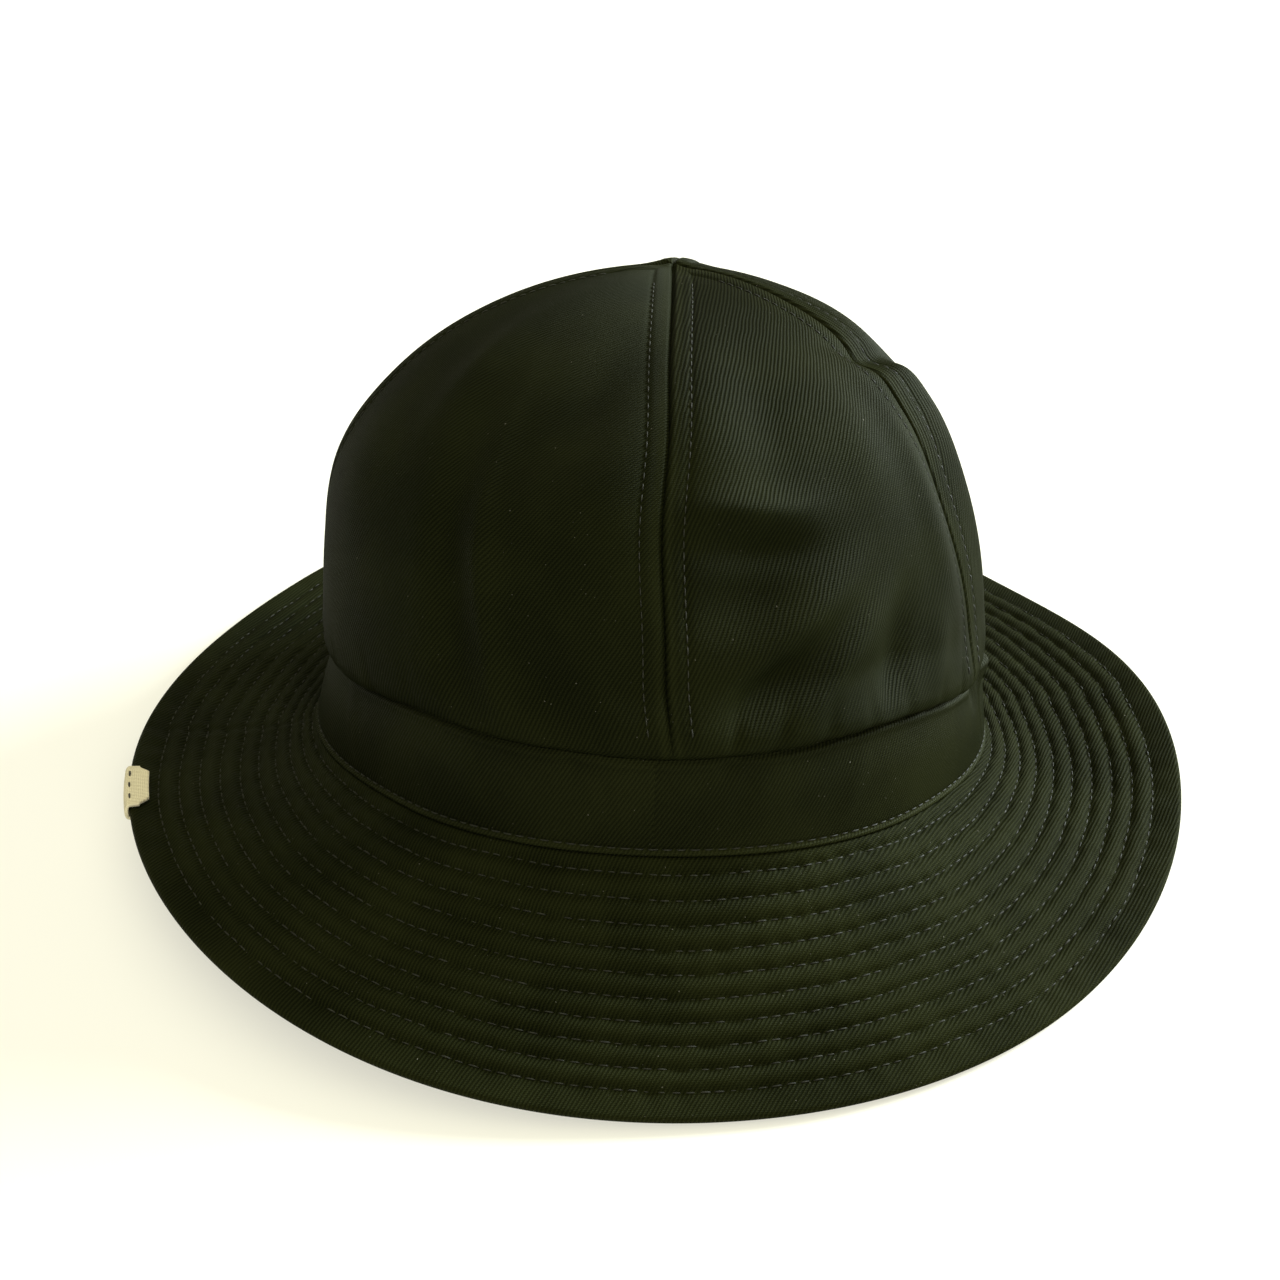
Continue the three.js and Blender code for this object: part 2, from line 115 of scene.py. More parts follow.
def seam_rise(azimuth):
    angle = np.radians(azimuth)
    return SEAM_SADDLE * np.cos(2 * angle) - SEAM_DIP * np.cos(angle)


def head_seam(azimuth, out=0.0, up=0.0):
    """Where band and brim are sewn together, moved out and up, in the crown's upright frame."""
    way = outward(azimuth)
    fade = 1 - SPREAD_FADE * np.clip(np.asarray(up) / BAND_HEIGHT, 0, 1)
    spread = out + fade * swell(FOOT_SPREADS, azimuth)
    side = (SEAM_HALF_WIDTH + spread) * way[..., 0]
    depth = (SEAM_HALF_DEPTH + spread) * way[..., 1] - SEAM_FORWARD
    return np.stack([side, depth, seam_rise(azimuth) + up], axis=-1)


def lean_back(points):
    """From the crown's upright frame to the frame of the whole hat."""
    side, depth, up = points[..., 0], points[..., 1], points[..., 2]
    cosine = math.cos(CROWN_LEAN)
    sine = math.sin(CROWN_LEAN)
    return np.stack([
        side + CENTRE_SHIFT[0],
        depth * cosine + up * sine + CENTRE_SHIFT[1],
        up * cosine - depth * sine + SEAM_HEIGHT,
    ], axis=-1)


ring = np.arange(0.0, 360.0)
seam_line = lean_back(head_seam(ring))
seam_length = np.linalg.norm(np.diff(seam_line, axis=0, append=seam_line[:1]), axis=1).sum()
seam_low = seam_line[:, 2].min()
seam_high = seam_line[:, 2].max()
print(f"head seam {seam_length:.0f} mm round, {seam_low:.1f} to {seam_high:.1f} mm high")


# %% Formula for the brim
def brim_point(azimuth, distance, depth=0.0):
    """Point of the brim a distance out from the seam and a depth under its upper face."""
    azimuth, distance, depth = np.broadcast_arrays(azimuth * 1.0, distance * 1.0, depth * 1.0)
    foot = lean_back(head_seam(azimuth))
    seam = lean_back(head_seam(azimuth, -swell(FOOT_SPREADS, azimuth)))
    drop = swell(EDGE_LIFTS, azimuth) + BRIM_WALL - seam[..., 2]
    run = np.sqrt(BRIM_WIDTH ** 2 - drop ** 2)
    facing = smooth_step(np.cos(np.radians(azimuth)), -1, 0)
    sag = BRIM_SAG_BACK + (BRIM_SAG_FRONT - BRIM_SAG_BACK) * facing
    part = distance / BRIM_WIDTH
    fall = drop - 4 * sag * (1 - 2 * part)
    length = np.hypot(run, fall)
    out = run * part + fall / length * depth
    up = drop * part - 4 * sag * part * (1 - part) - run / length * depth
    blend = np.maximum(1 - part / SPREAD_REACH, 0)[..., None] ** 2
    points = seam + (foot - seam) * blend + outward(azimuth) * out[..., None]
    points[..., 2] += up
    return points


edge_line = brim_point(ring, BRIM_WIDTH)
print(f"brim edge spans {np.ptp(edge_line[:, 0]):.0f} x {np.ptp(edge_line[:, 1]):.0f} mm")


# %% [markdown]
# ## The crown's formula
# The crown is a stack of rounded sections. A cubic curve runs through each column of the table, so the
# dome is smooth between its nine rows. Between two seams a section is drawn in a little, as flat cloth
# panels do when they are sewn into a dome.
# Folds and dents are soft mounds in a table: azimuth, height, half widths across and along, slant, size.

# %% Sections, seams and folds of the crown
SECTION_UP = (0, 11.2, 28.2, 47.4, 64.9, 79.1, 90, 95.1, 96.3)
SECTION_RADIUS = (91.7, 92, 90.6, 85.6, 74.3, 57.4, 35.7, 15, 0)
SECTION_RIGHT = (-2.8, -2.1, -2.7, -3.6, -2.1, -1.5, -0.4, 0.6, 1.2)
SECTION_BACK = (-8, -5.5, -2.8, -1, 0, 0, 0, 0, 0)
SECTION_SQUARE = (0, 0.02, 0.05, 0.09, 0.13, 0.17, 0.22, 0.25, 0.25)
CROWN_TOP = len(SECTION_UP) - 1
CROWN_HEIGHT = SECTION_UP[-1]
FOOT_PUFF = (0.8, 3.0, 0.8, 1.6, 1.2, 2.0, 3.2, 2.4)
FOOT_BLEND = 16
SEAMS = {"front": (2.5, 0), "right": (67, -8), "back": (170, 0), "left": (273, 0)}
CROWN_FOLDS = [
    (63, 47, 5.5, 40, 6, -2.8),
    (55, 44, 5, 38, 6, 1.3),
    (73, 45, 5, 36, 6, 1.8),
    (72, 68, 12, 14, 0, 2.4),
    (82, 85, 14, 8, 0, 1.8),
    (66, 77, 2.2, 12, 76, -2.0),
    (66, 72.5, 3.5, 12, 76, 1.2),
    (68, 83, 4.5, 12, 76, 1.0),
    (2.5, 62, 7, 38, 0, -2.0),
    (170, 88, 7, 12, 0, 1.8),
    (-26, 33, 3.2, 28, 9, 2.4),
    (-33, 32, 5.5, 28, 10, -3.6),
    (-17, 10, 6, 13, 46, -2.4),
    (-8.5, 16, 5, 15, 32, 1.8),
    (-46, 77, 8, 14, -8, 1.8),
    (-15.5, 71, 8, 18, -41, -1.8),
    (22, 67, 8, 15, 0, -1.3),
    (41, 66, 8, 16, 0, 1.2),
    (18, 51.5, 3.6, 14, 88, 2.4),
    (18, 43.5, 4.2, 14, 89, -2.6),
    (14.5, 34, 7, 16, -66, -3.4),
    (22, 24.5, 4.5, 20, -56, 3.2),
    (17, 14, 4.8, 15, -51, -3.8),
    (29.5, 16, 4.6, 18, -48, 2.6),
    (40.5, 14, 5, 15, -22, -3.4),
    (51, 15, 5, 14, -14, 2.2),
]
print(len(CROWN_FOLDS), "soft folds,", len(SEAMS), "seams")


# %% Curves through the tables
def station_curve(values, azimuth):
    """Smooth closed curve through equally spaced stations round the hat."""
    count = len(values)
    total = np.zeros_like(azimuth, dtype=float)
    for wave in range(count // 2 + 1):
        weight = 1 / count if wave in (0, count // 2) else 2 / count
        for station, value in enumerate(values):
            total = total + weight * value * np.cos(wave * np.radians(azimuth - 360 * station / count))
    return total


def section_curve(values):
    """Natural cubic curve through values at 0, 1, 2, ..."""
    values = np.array(values, dtype=float)
    last = len(values) - 1
    system = np.eye(last + 1)
    bends = np.zeros(last + 1)
    for row in range(1, last):
        system[row, row - 1:row + 2] = (1, 4, 1)
        bends[row] = 6 * (values[row + 1] - 2 * values[row] + values[row - 1])
    bends = np.linalg.solve(system, bends)

    def curve(station):
        low = np.clip(np.floor(station).astype(int), 0, last - 1)
        after = station - low
        before = 1 - after
        arch = ((before ** 3 - before) * bends[low] + (after ** 3 - after) * bends[low + 1]) / 6
        return before * values[low] + after * values[low + 1] + arch

    return curve


crown_up = section_curve(SECTION_UP)
crown_radius = section_curve(SECTION_RADIUS)
crown_right = section_curve(SECTION_RIGHT)
crown_back = section_curve(SECTION_BACK)
crown_square = section_curve(SECTION_SQUARE)
print(f"crown radius half way up the table: {crown_radius(np.array(4.0)):.1f} mm")


# %% Formula for the crown
def seam_azimuth(name, station):
    azimuth, wind = SEAMS[name]
    return azimuth + wind * crown_up(station) / CROWN_HEIGHT


def squaring(azimuth, station):
    """How far a section is drawn in between two seams, 1 at a seam."""
    ways = [seam_azimuth(name, station) for name in SEAMS]
    ways.append(ways[0] + 360)
    turn = np.mod(azimuth - ways[0], 360) + ways[0]
    low, high = ways[0], ways[1]
    for start, end in zip(ways[1:], ways[2:]):
        passed = turn >= start
        low = np.where(passed, start, low)
        high = np.where(passed, end, high)
    half = np.radians(high - low) / 2
    return np.cos(half) / np.cos(np.radians(turn - low) - half)


def crown_form(azimuth, station):
    """Outer point, outward way, height over the band and radius of the plain crown."""
    azimuth, station = np.broadcast_arrays(azimuth * 1.0, station * 1.0)
    way = outward(azimuth)
    up = crown_up(station)
    radius = crown_radius(station) * (1 - crown_square(station) * (1 - squaring(azimuth, station)))
    body = radius[..., None] * way
    body[..., 0] += crown_right(station)
    body[..., 1] += crown_back(station)
    foot = head_seam(azimuth, station_curve(FOOT_PUFF, azimuth), BAND_HEIGHT)
    points = foot + (body - foot) * smooth_step(up, 0, FOOT_BLEND)[..., None]
    followed = swell(BAND_RISES, azimuth) * np.maximum(1 - up / BAND_RISE_REACH, 0) ** 2
    points[..., 2] = BAND_HEIGHT + up + seam_rise(azimuth) * (1 - up / CROWN_HEIGHT) ** 2 + followed
    step = 0.01
    start = np.minimum(station, CROWN_TOP - step)
    normal = way * (crown_up(start + step) - crown_up(start))[..., None]
    normal[..., 2] = crown_radius(start) - crown_radius(start + step)
    normal /= np.linalg.norm(normal, axis=-1, keepdims=True)
    return points, normal, up, radius


def fold_height(table, azimuth, up, radius):
    total = 0
    for middle, height, half_across, half_along, slant, size in table:
        side = np.radians(turn_from(middle, azimuth)) * radius
        rise = up - height
        angle = math.radians(slant)
        across = (side * math.cos(angle) + rise * math.sin(angle)) / half_across
        along = (rise * math.cos(angle) - side * math.sin(angle)) / half_along
        total = total + size * np.exp(-across ** 2 - along ** 2)
    return total


top_point = lean_back(crown_form(np.array(0.0), np.array(CROWN_TOP * 1.0))[0])
print(f"crown top at {top_point[2]:.1f} mm")

# %% [markdown]
# ## Camera
# The picture is taken from the front, from close by and less than a third of a metre up, with a normal lens.
# The camera is placed by its point and three turns, found by laying the hat's lines over the photograph.

# %% Camera
CAMERA_POINT = (-0.08, -385.515, 287.08)
CAMERA_DOWN = 0.583
CAMERA_YAW = -0.014
CAMERA_ROLL = -0.019
camera_data = bpy.data.cameras.new("photo_camera")
camera_data.lens = 45
camera_data.sensor_width = 36
camera_data.sensor_fit = "HORIZONTAL"
camera_data.clip_start = 0.01
camera = bpy.data.objects.new("photo_camera", camera_data)
bpy.context.scene.collection.objects.link(camera)
camera.matrix_world = (
    Matrix.Translation([value * MM for value in CAMERA_POINT])
    @ Matrix.Rotation(-CAMERA_YAW, 4, "Z")
    @ Matrix.Rotation(math.pi / 2 - CAMERA_DOWN, 4, "X")
    @ Matrix.Rotation(-CAMERA_ROLL, 4, "Z")
)
bpy.context.scene.camera = camera
print("camera at", [round(value, 3) for value in camera.matrix_world.translation], "lens", camera_data.lens)

# %% [markdown]
# ## Floor and light
# The hat lies on something white in bright daylight from the right and behind, so the surroundings are
# nearly blown out while the black cloth stays dark. A pale floor under a sky that is brightest overhead,
# as a studio's ceiling is, fills the shadows, and one large panel far off at the back right plays the window.
# A weak fill from the front right shapes the folds on the dark side. Behind the floor's end the camera sees
# a plain pale backdrop, which gives no light of its own.

# %% Floor and lights
FLOOR_SIZE = 12
FLOOR_DROP = -0.0002
FLOOR_COLOUR = (0.4, 0.395, 0.35)
FLOOR_GLOW = (1.0, 0.985, 0.88)
FLOOR_GLOW_STRENGTH = 0.54
SKY_COLOUR = (1.0, 0.97, 0.76)
SKY_OVERHEAD = 1.4
SKY_HORIZON = 0.05
SKY_RISE = (0.0, 0.9)
LIGHT_AIM = (0, 0, 0.05)
WINDOW = {"place": (2.6, 1.3, 1.3), "size": 1.3, "power": 315, "colour": (0.88, 0.97, 1.0)}
FILL = {"place": (1.3, -2.1, 1.1), "size": 1.2, "power": 22, "colour": (1.0, 0.98, 0.88)}


def area_light(name, place, size, power, colour):
    data = bpy.data.lights.new(name, "AREA")
    data.shape = "DISK"
    data.size = size
    data.energy = power
    data.color = colour
    lamp = bpy.data.objects.new(name, data)
    bpy.context.scene.collection.objects.link(lamp)
    lamp.matrix_world = Matrix.Translation(place)
    direction = Matrix.Translation(LIGHT_AIM).translation - lamp.matrix_world.translation
    lamp.rotation_euler = direction.to_track_quat("-Z", "Y").to_euler()


floor_mesh = bpy.data.meshes.new("floor")
half = FLOOR_SIZE / 2
floor_corners = [(-half, -half), (half, -half), (half, half), (-half, half)]
floor_mesh.from_pydata([(*corner, FLOOR_DROP) for corner in floor_corners], [], [(0, 1, 2, 3)])
floor = bpy.data.objects.new("floor", floor_mesh)
bpy.context.scene.collection.objects.link(floor)
floor_paint = bpy.data.materials.new("white_floor")
floor_paint.use_nodes = True
floor_shader = floor_paint.node_tree.nodes["Principled BSDF"]
floor_shader.inputs["Base Color"].default_value = (*FLOOR_COLOUR, 1)
floor_shader.inputs["Roughness"].default_value = 0.9
floor_shader.inputs["Specular IOR Level"].default_value = 0.1
floor_shader.inputs["Emission Color"].default_value = (*FLOOR_GLOW, 1)
floor_shader.inputs["Emission Strength"].default_value = FLOOR_GLOW_STRENGTH
floor_mesh.materials.append(floor_paint)

sky = bpy.data.worlds.new("overhead_sky")
sky.use_nodes = True
background = sky.node_tree.nodes["Background"]
background.inputs["Color"].default_value = (*SKY_COLOUR, 1)
direction = sky.node_tree.nodes.new("ShaderNodeTexCoord")
height = sky.node_tree.nodes.new("ShaderNodeSeparateXYZ")
strength = sky.node_tree.nodes.new("ShaderNodeMapRange")
strength.interpolation_type = "SMOOTHSTEP"
for socket, number in zip(list(strength.inputs)[1:], (*SKY_RISE, SKY_HORIZON, SKY_OVERHEAD)):
    socket.default_value = number
sky.node_tree.links.new(direction.outputs["Generated"], height.inputs[0])
sky.node_tree.links.new(height.outputs["Z"], strength.inputs[0])
backdrop = sky.node_tree.nodes.new("ShaderNodeLightPath")
brighter = sky.node_tree.nodes.new("ShaderNodeMath")
brighter.operation = "MAXIMUM"
sky.node_tree.links.new(strength.outputs[0], brighter.inputs[0])
sky.node_tree.links.new(backdrop.outputs["Is Camera Ray"], brighter.inputs[1])
sky.node_tree.links.new(brighter.outputs[0], background.inputs["Strength"])
bpy.context.scene.world = sky
area_light("window", **WINDOW)
area_light("fill", **FILL)
bpy.context.scene.view_settings.view_transform = "Standard"
print("floor, sky, window and fill light made")

# %% [markdown]
# ## Twill cloth
# Twill shows as fine slanting ridges, about 0.9 mm apart, broken up by the yarns that cross over and under.
# A picture of cloth would be quicker, but it repeats and can't follow a seam. Here each piece carries its
# own map called weave, counted in millimetres of cloth: the first number runs across the ridges, the second
# along them. Sines of those two numbers give ridges and yarn breaks, noise bends them slightly, and the
# same height drives colour and bump. A value on the mesh pales edges and rib crests for wear, and on the
# brim it leaves the grooves between the ribs darker, which is painted shade.

# %% Twill material
WALE_PITCH = 0.92
YARN_PITCH = 0.65
YARN_PART = 0.14
WARP_TURN = 30
WAVER_SCALE = 0.12
WAVER_SIZE = 0.7
FIBRE_SCALE = 3.2
FIBRE_PART = 1.1
CLOUD_SCALE = 0.035
CLOUD_SIZE = 0.2
WEAR_AND_SHADE_PART = 0.35
LINT_SCALE = 1.35
LINT_RANGE = (0.775, 0.83)
LINT_PART = 0.55
LINT_COLOUR = (0.21, 0.2, 0.17, 1)
CLOTH_GRAIN = 0.65
CLOTH_TINT = (0.85, 0.96, 0.44, 1)
TWILL_RELIEF = 0.00026
TWILL_BUMP = 0.6
TWILL_ROUGHNESS = (0.7, 0.6)
PALE_RANGE = (-0.75, 0.85)
PALE_MOST = 0.75


class Shading:
    """Adds nodes to a material and links them as it goes."""

    def __init__(self, name):
        self.material = bpy.data.materials.new(name)
        self.material.use_nodes = True
        self.tree = self.material.node_tree
        self.shader = self.tree.nodes["Principled BSDF"]

    def connect(self, value, socket):
        if isinstance(value, bpy.types.NodeSocket):
            self.tree.links.new(value, socket)
        else:
            socket.default_value = value

    def math(self, operation, first, second=0.0):
        node = self.tree.nodes.new("ShaderNodeMath")
        node.operation = operation
        self.connect(first, node.inputs[0])
        self.connect(second, node.inputs[1])
        return node.outputs[0]

    def between(self, value, low, high, new_low=0.0, new_high=1.0):
        node = self.tree.nodes.new("ShaderNodeMapRange")
        node.interpolation_type = "SMOOTHSTEP"
        for socket, number in zip(node.inputs, (value, low, high, new_low, new_high)):
            self.connect(number, socket)
        return node.outputs[0]

    def weave_map(self):
        """The piece's own map of its cloth, whole and as its two numbers."""
        weave = self.tree.nodes.new("ShaderNodeUVMap")
        weave.uv_map = "weave"
        parts = self.tree.nodes.new("ShaderNodeSeparateXYZ")
        self.connect(weave.outputs[0], parts.inputs[0])
        return weave.outputs[0], parts.outputs[0], parts.outputs[1]

    def noise(self, vector, scale, detail):
        node = self.tree.nodes.new("ShaderNodeTexNoise")
        node.inputs["Scale"].default_value = scale
        node.inputs["Detail"].default_value = detail
        self.connect(vector, node.inputs["Vector"])
        return node.outputs["Fac"]

    def mix(self, part, first, second):
        node = self.tree.nodes.new("ShaderNodeMix")
        node.data_type = "RGBA"
        self.connect(part, node.inputs[0])
        self.connect(first, node.inputs[6])
        self.connect(second, node.inputs[7])
        return node.outputs[2]

    def bump(self, height, distance, strength):
        node = self.tree.nodes.new("ShaderNodeBump")
        node.inputs["Strength"].default_value = strength
        node.inputs["Distance"].default_value = distance
        self.connect(height, node.inputs["Height"])
        self.connect(node.outputs[0], self.shader.inputs["Normal"])


def twill_cloth(name, dark, light, gloss):
    cloth = Shading(name)
    weave, across, along = cloth.weave_map()
    waver = cloth.math("SUBTRACT", cloth.noise(weave, WAVER_SCALE, 2), 0.5)
    waver = cloth.math("MULTIPLY", waver, WAVER_SIZE)
    ridge_count = cloth.math("DIVIDE", cloth.math("ADD", across, waver), WALE_PITCH)
    ridge = cloth.math("SINE", cloth.math("MULTIPLY", ridge_count, 2 * math.pi))
    yarn_count = cloth.math("ADD", cloth.math("DIVIDE", along, YARN_PITCH), ridge_count)
    yarn = cloth.math("SINE", cloth.math("MULTIPLY", yarn_count, 2 * math.pi))
    fibre = cloth.math("SUBTRACT", cloth.noise(weave, FIBRE_SCALE, 3), 0.5)
    height = cloth.math("ADD", cloth.math("MULTIPLY", ridge, 0.5), cloth.math("MULTIPLY", yarn, YARN_PART))
    height = cloth.math("ADD", height, cloth.math("MULTIPLY", fibre, FIBRE_PART))
    cloud = cloth.between(cloth.noise(weave, CLOUD_SCALE, 4), 0.3, 0.7, -CLOUD_SIZE, CLOUD_SIZE)
    # The mesh value pales worn edges and rib crests; on the brim, its fall into the grooves between the ribs
    # is painted shade.
    wear_and_shade = cloth.tree.nodes.new("ShaderNodeAttribute")
    wear_and_shade.attribute_name = "wear_and_shade"
    paleness = cloth.math("ADD", cloth.between(height, *PALE_RANGE, 0.0, PALE_MOST), cloud)
    paleness = cloth.math("ADD", paleness, cloth.math("MULTIPLY", wear_and_shade.outputs["Fac"], WEAR_AND_SHADE_PART))
    colour = cloth.mix(paleness, (*dark, 1), (*light, 1))
    speck = cloth.between(cloth.noise(weave, LINT_SCALE, 1), *LINT_RANGE, 0.0, LINT_PART)
    colour = cloth.mix(speck, colour, LINT_COLOUR)
    cloth.connect(colour, cloth.shader.inputs["Base Color"])
    grain = cloth.tree.nodes.new("ShaderNodeTangent")
    grain.direction_type = "UV_MAP"
    grain.uv_map = "weave"
    cloth.connect(grain.outputs[0], cloth.shader.inputs["Tangent"])
    cloth.shader.inputs["Anisotropic"].default_value = CLOTH_GRAIN
    cloth.shader.inputs["Anisotropic Rotation"].default_value = WARP_TURN / 360
    roughness = cloth.between(height, -0.8, 0.8, *TWILL_ROUGHNESS)
    cloth.connect(roughness, cloth.shader.inputs["Roughness"])
    cloth.shader.inputs["Specular IOR Level"].default_value = gloss
    cloth.shader.inputs["Specular Tint"].default_value = CLOTH_TINT
    cloth.bump(height, TWILL_RELIEF, TWILL_BUMP)
    return cloth.material


crown_twill = twill_cloth("crown_twill", (0.0021, 0.0026, 0.0007), (0.01, 0.0115, 0.0032), 0.055)
band_twill = twill_cloth("band_twill", (0.0026, 0.0031, 0.0009), (0.0122, 0.0138, 0.004), 0.07)
brim_twill = twill_cloth("brim_twill", (0.0028, 0.0034, 0.001), (0.012, 0.0137, 0.004), 0.03)
print("twill materials:", crown_twill.name, band_twill.name, brim_twill.name)

# %% [markdown]
# ## From grids to pieces
# Every cloth piece below is a grid of points folded into a closed skin. This helper joins the rows and
# columns into faces, writes the weave map and the value for wear and painted shade, and turns the skin right
# side out by the sign of its volume. Writing a mesh in one go is much faster than adding faces one at a time.


# %% Mesh helper
def grid_faces(rows, columns, wrap_rows=False, wrap_columns=False):
    """Corner indices of the faces between neighbouring rows and columns."""
    row = np.arange(rows if wrap_rows else rows - 1)[:, None]
    column = np.arange(columns if wrap_columns else columns - 1)[None, :]
    next_row = (row + 1) % rows
    next_column = (column + 1) % columns
    corners = [row * columns + column, row * columns + next_column,
               next_row * columns + next_column, next_row * columns + column]
    return np.stack(np.broadcast_arrays(*corners), axis=-1).reshape(-1, 4)


def skin_volume(points, faces):
    first, second, third, fourth = (points[faces[:, corner]] for corner in range(4))
    halves = np.cross(second, third) + np.cross(third, fourth)
    return (first * halves).sum() / 6


def cloth_piece(name, points, faces, weave, wear_and_shade, material):
    """Closed skin in metres from points in millimetres; weave has one pair for each face corner."""
    if skin_volume(points, faces) < 0:
        faces = faces[:, ::-1]
        weave = weave[:, ::-1]
    mesh = bpy.data.meshes.new(name)
    mesh.vertices.add(len(points))
    mesh.vertices.foreach_set("co", (points * MM).astype(np.float32).ravel())
    mesh.loops.add(faces.size)
    mesh.loops.foreach_set("vertex_index", faces.astype(np.int32).ravel())
    mesh.polygons.add(len(faces))
    mesh.polygons.foreach_set("loop_start", np.arange(0, faces.size, 4, dtype=np.int32))
    mesh.polygons.foreach_set("use_smooth", np.ones(len(faces), dtype=bool))
    mesh.update(calc_edges=True)
    uv_map = mesh.uv_layers.new(name="weave")
    uv_map.data.foreach_set("uv", weave.astype(np.float32).ravel())
    mesh.attributes.new("wear_and_shade", "FLOAT", "POINT").data.foreach_set("value", wear_and_shade.astype(np.float32).ravel())
    mesh.materials.append(material)
    mesh.validate()
    piece = bpy.data.objects.new(name, mesh)
    bpy.context.scene.collection.objects.link(piece)
    print(f"{name}: {len(faces) * 2} triangles, {abs(skin_volume(points, faces)) / 1000:.1f} cm3")
    return piece


def wall_faces(rows, columns):
    """Outer grid, inner grid turned round, and the four rims between them."""
    outer = grid_faces(rows, columns)
    inner = outer[:, ::-1] + rows * columns
    index = np.arange(rows * columns).reshape(rows, columns)
    rim = np.concatenate([index[0, :], index[1:, -1], index[-1, -2::-1], index[-2:0:-1, 0]])
    after = np.roll(rim, -1)
    rims = np.stack([after, rim, rim + rows * columns, after + rows * columns], axis=-1)
    return np.concatenate([outer, inner, rims])


def turn_weave(right, up, angle):
    """Weave map of cloth whose ridges rise to the right at an angle to the level."""
    slope = math.radians(angle)
    return np.stack([up * math.cos(slope) - right * math.sin(slope),
                     right * math.cos(slope) + up * math.sin(slope)], axis=-1)


print("mesh helpers ready")

# %% [markdown]
# ## Crown panels
# Each panel is cut from twill, sewn to its neighbours by a felled seam and gathered slightly onto the band.
# A cloth simulation would give folds of its own, but not these folds, so the panel is a fine grid over the
# crown's formula: columns crowd towards the seams, where the cloth dips into the seam and rises over its
# doubled edge, and the lowest rows curl into a lip that puffs out over the band.

# %% Relief of the crown's cloth
RELIEF_FADE = (-2, 12)
CREASE_DEPTH = 0.8
CREASE_SWELLS = [(-58, 46, 1.6), (42, 36, 1.5)]
CREASE_LEAN = 0.55
CREASE_GAP = 0.06
SEAM_GROOVE = 0.8
SEAM_GROOVE_REACH = 0.5
SEAM_WELT = 0.35
SEAM_WELT_REACH = 5.4
SEAM_STITCH_DISTANCE = 5.2
SEAM_STITCH_DIP = 0.4
SEAM_STITCH_REACH = 0.7
UNEVEN_SIZE = 0.2
UNEVEN_WAVES = [(5, 17, 0), (8, -12, 1.3), (13, 9, 4.1)]
FOOT_TUCKS = [
    (-78, 3, 3.0, 7, 0, -0.7), (-66, 3, 2.2, 6, 0, -0.6), (-52, 2, 2.0, 7, 0, -0.7),
    (-41, 2, 2.4, 8, 0, -0.6), (-22, 3, 2.0, 6, 0, -0.5), (-9, 2, 1.6, 7, 0, -0.6),
    (12, 2, 1.6, 9, -12, -0.8), (19, 3, 1.8, 8, -20, -0.8), (27, 3, 2.2, 7, -10, -0.8),
    (35, 3, 2.0, 7, 0, -0.7), (43, 2, 2.2, 8, 0, -0.8), (52, 3, 2.4, 7, 0, -0.8),
    (60, 3, 1.8, 9, 0, -0.9), (82, 3, 2.2, 8, 0, -0.8), (104, 3, 2.4, 7, 0, -0.7),
    (126, 3, 2.2, 8, 0, -0.7), (150, 3, 2.4, 7, 0, -0.6), (186, 3, 2.2, 7, 0, -0.7),
    (212, 3, 2.4, 8, 0, -0.7), (240, 3, 2.4, 7, 0, -0.6),
]


def mound(value, middle, reach):
    return np.exp(-((value - middle) / reach) ** 2)


def seam_height(distance):
    """Raised welt with a groove in its middle and a dip along each row of stitches."""
    raised = SEAM_WELT * np.exp(-(distance / SEAM_WELT_REACH) ** 6)
    groove = (SEAM_GROOVE + SEAM_WELT) * mound(distance, 0, SEAM_GROOVE_REACH)
    dip = SEAM_STITCH_DIP * mound(distance, SEAM_STITCH_DISTANCE, SEAM_STITCH_REACH)
    return raised - groove - dip


def crease_depth(azimuth):
    """How far the cloth is drawn in where the crown meets the band."""
    return CREASE_DEPTH + swell(CREASE_SWELLS, azimuth)


def soft_unevenness(azimuth, up):
    """Slight waves of cloth that has been worn, from a few slow sines."""
    angle = np.radians(azimuth)
    total = sum(np.sin(count * angle + up / climb + start) for count, climb, start in UNEVEN_WAVES)
    return UNEVEN_SIZE * total * np.sin(np.pi * np.clip(up / CROWN_HEIGHT, 0, 1))


def crown_relief(azimuth, up, radius, seam_distance):
    """How far the cloth stands out from the plain crown."""
    relief = fold_height(CROWN_FOLDS, azimuth, up, radius) + seam_height(seam_distance)
    relief = (relief + soft_unevenness(azimuth, up)) * smooth_step(up, *RELIEF_FADE)
    return relief + fold_height(FOOT_TUCKS, azimuth, up, radius)


print("relief tables:", len(FOOT_TUCKS), "tucks at the foot")

# %% Grid of a crown panel
PANEL_COLUMNS = 112
PANEL_ROWS = 140
FOOT_STEPS = 5
FOOT_STATION = 0.45
LIP_OUTER = [(0, 0, 1, 0), (0.25, 0.4, 0.2, 0.5), (0.7, 0.7, 0, 1.8)]
LIP_INNER = [(0, 0, 1, 0), (0.3, 0, 0, CROWN_WALL), (0.8, 0, 0, 2 * CROWN_WALL)]
CURL_AHEAD = 4
TIP_STATION = CROWN_TOP - 0.004
TIP_RADIUS = 0.3
WELT_WEAR_PLACE = 1.7
WELT_WEAR_REACH = 0.9
SEAM_COLUMNS = np.array([0.0, 0.4, 0.8, 1.2, 1.7, 2.4, 3.2, 4.0, 4.6, 5.2, 5.8, 6.6, 7.6, 8.8])


def panel_places(arc):
    """Distances along each row from its first seam, crowded towards both seams."""
    count = len(SEAM_COLUMNS)
    near = np.minimum(SEAM_COLUMNS, arc * np.arange(count) / PANEL_COLUMNS)
    start = near[:, -1:]
    inside = np.linspace(0, 1, PANEL_COLUMNS - 2 * count + 2)[1:-1]
    middle = start + (arc - 2 * start) * inside
    return np.concatenate([near, middle, arc - near[:, ::-1]], axis=1)


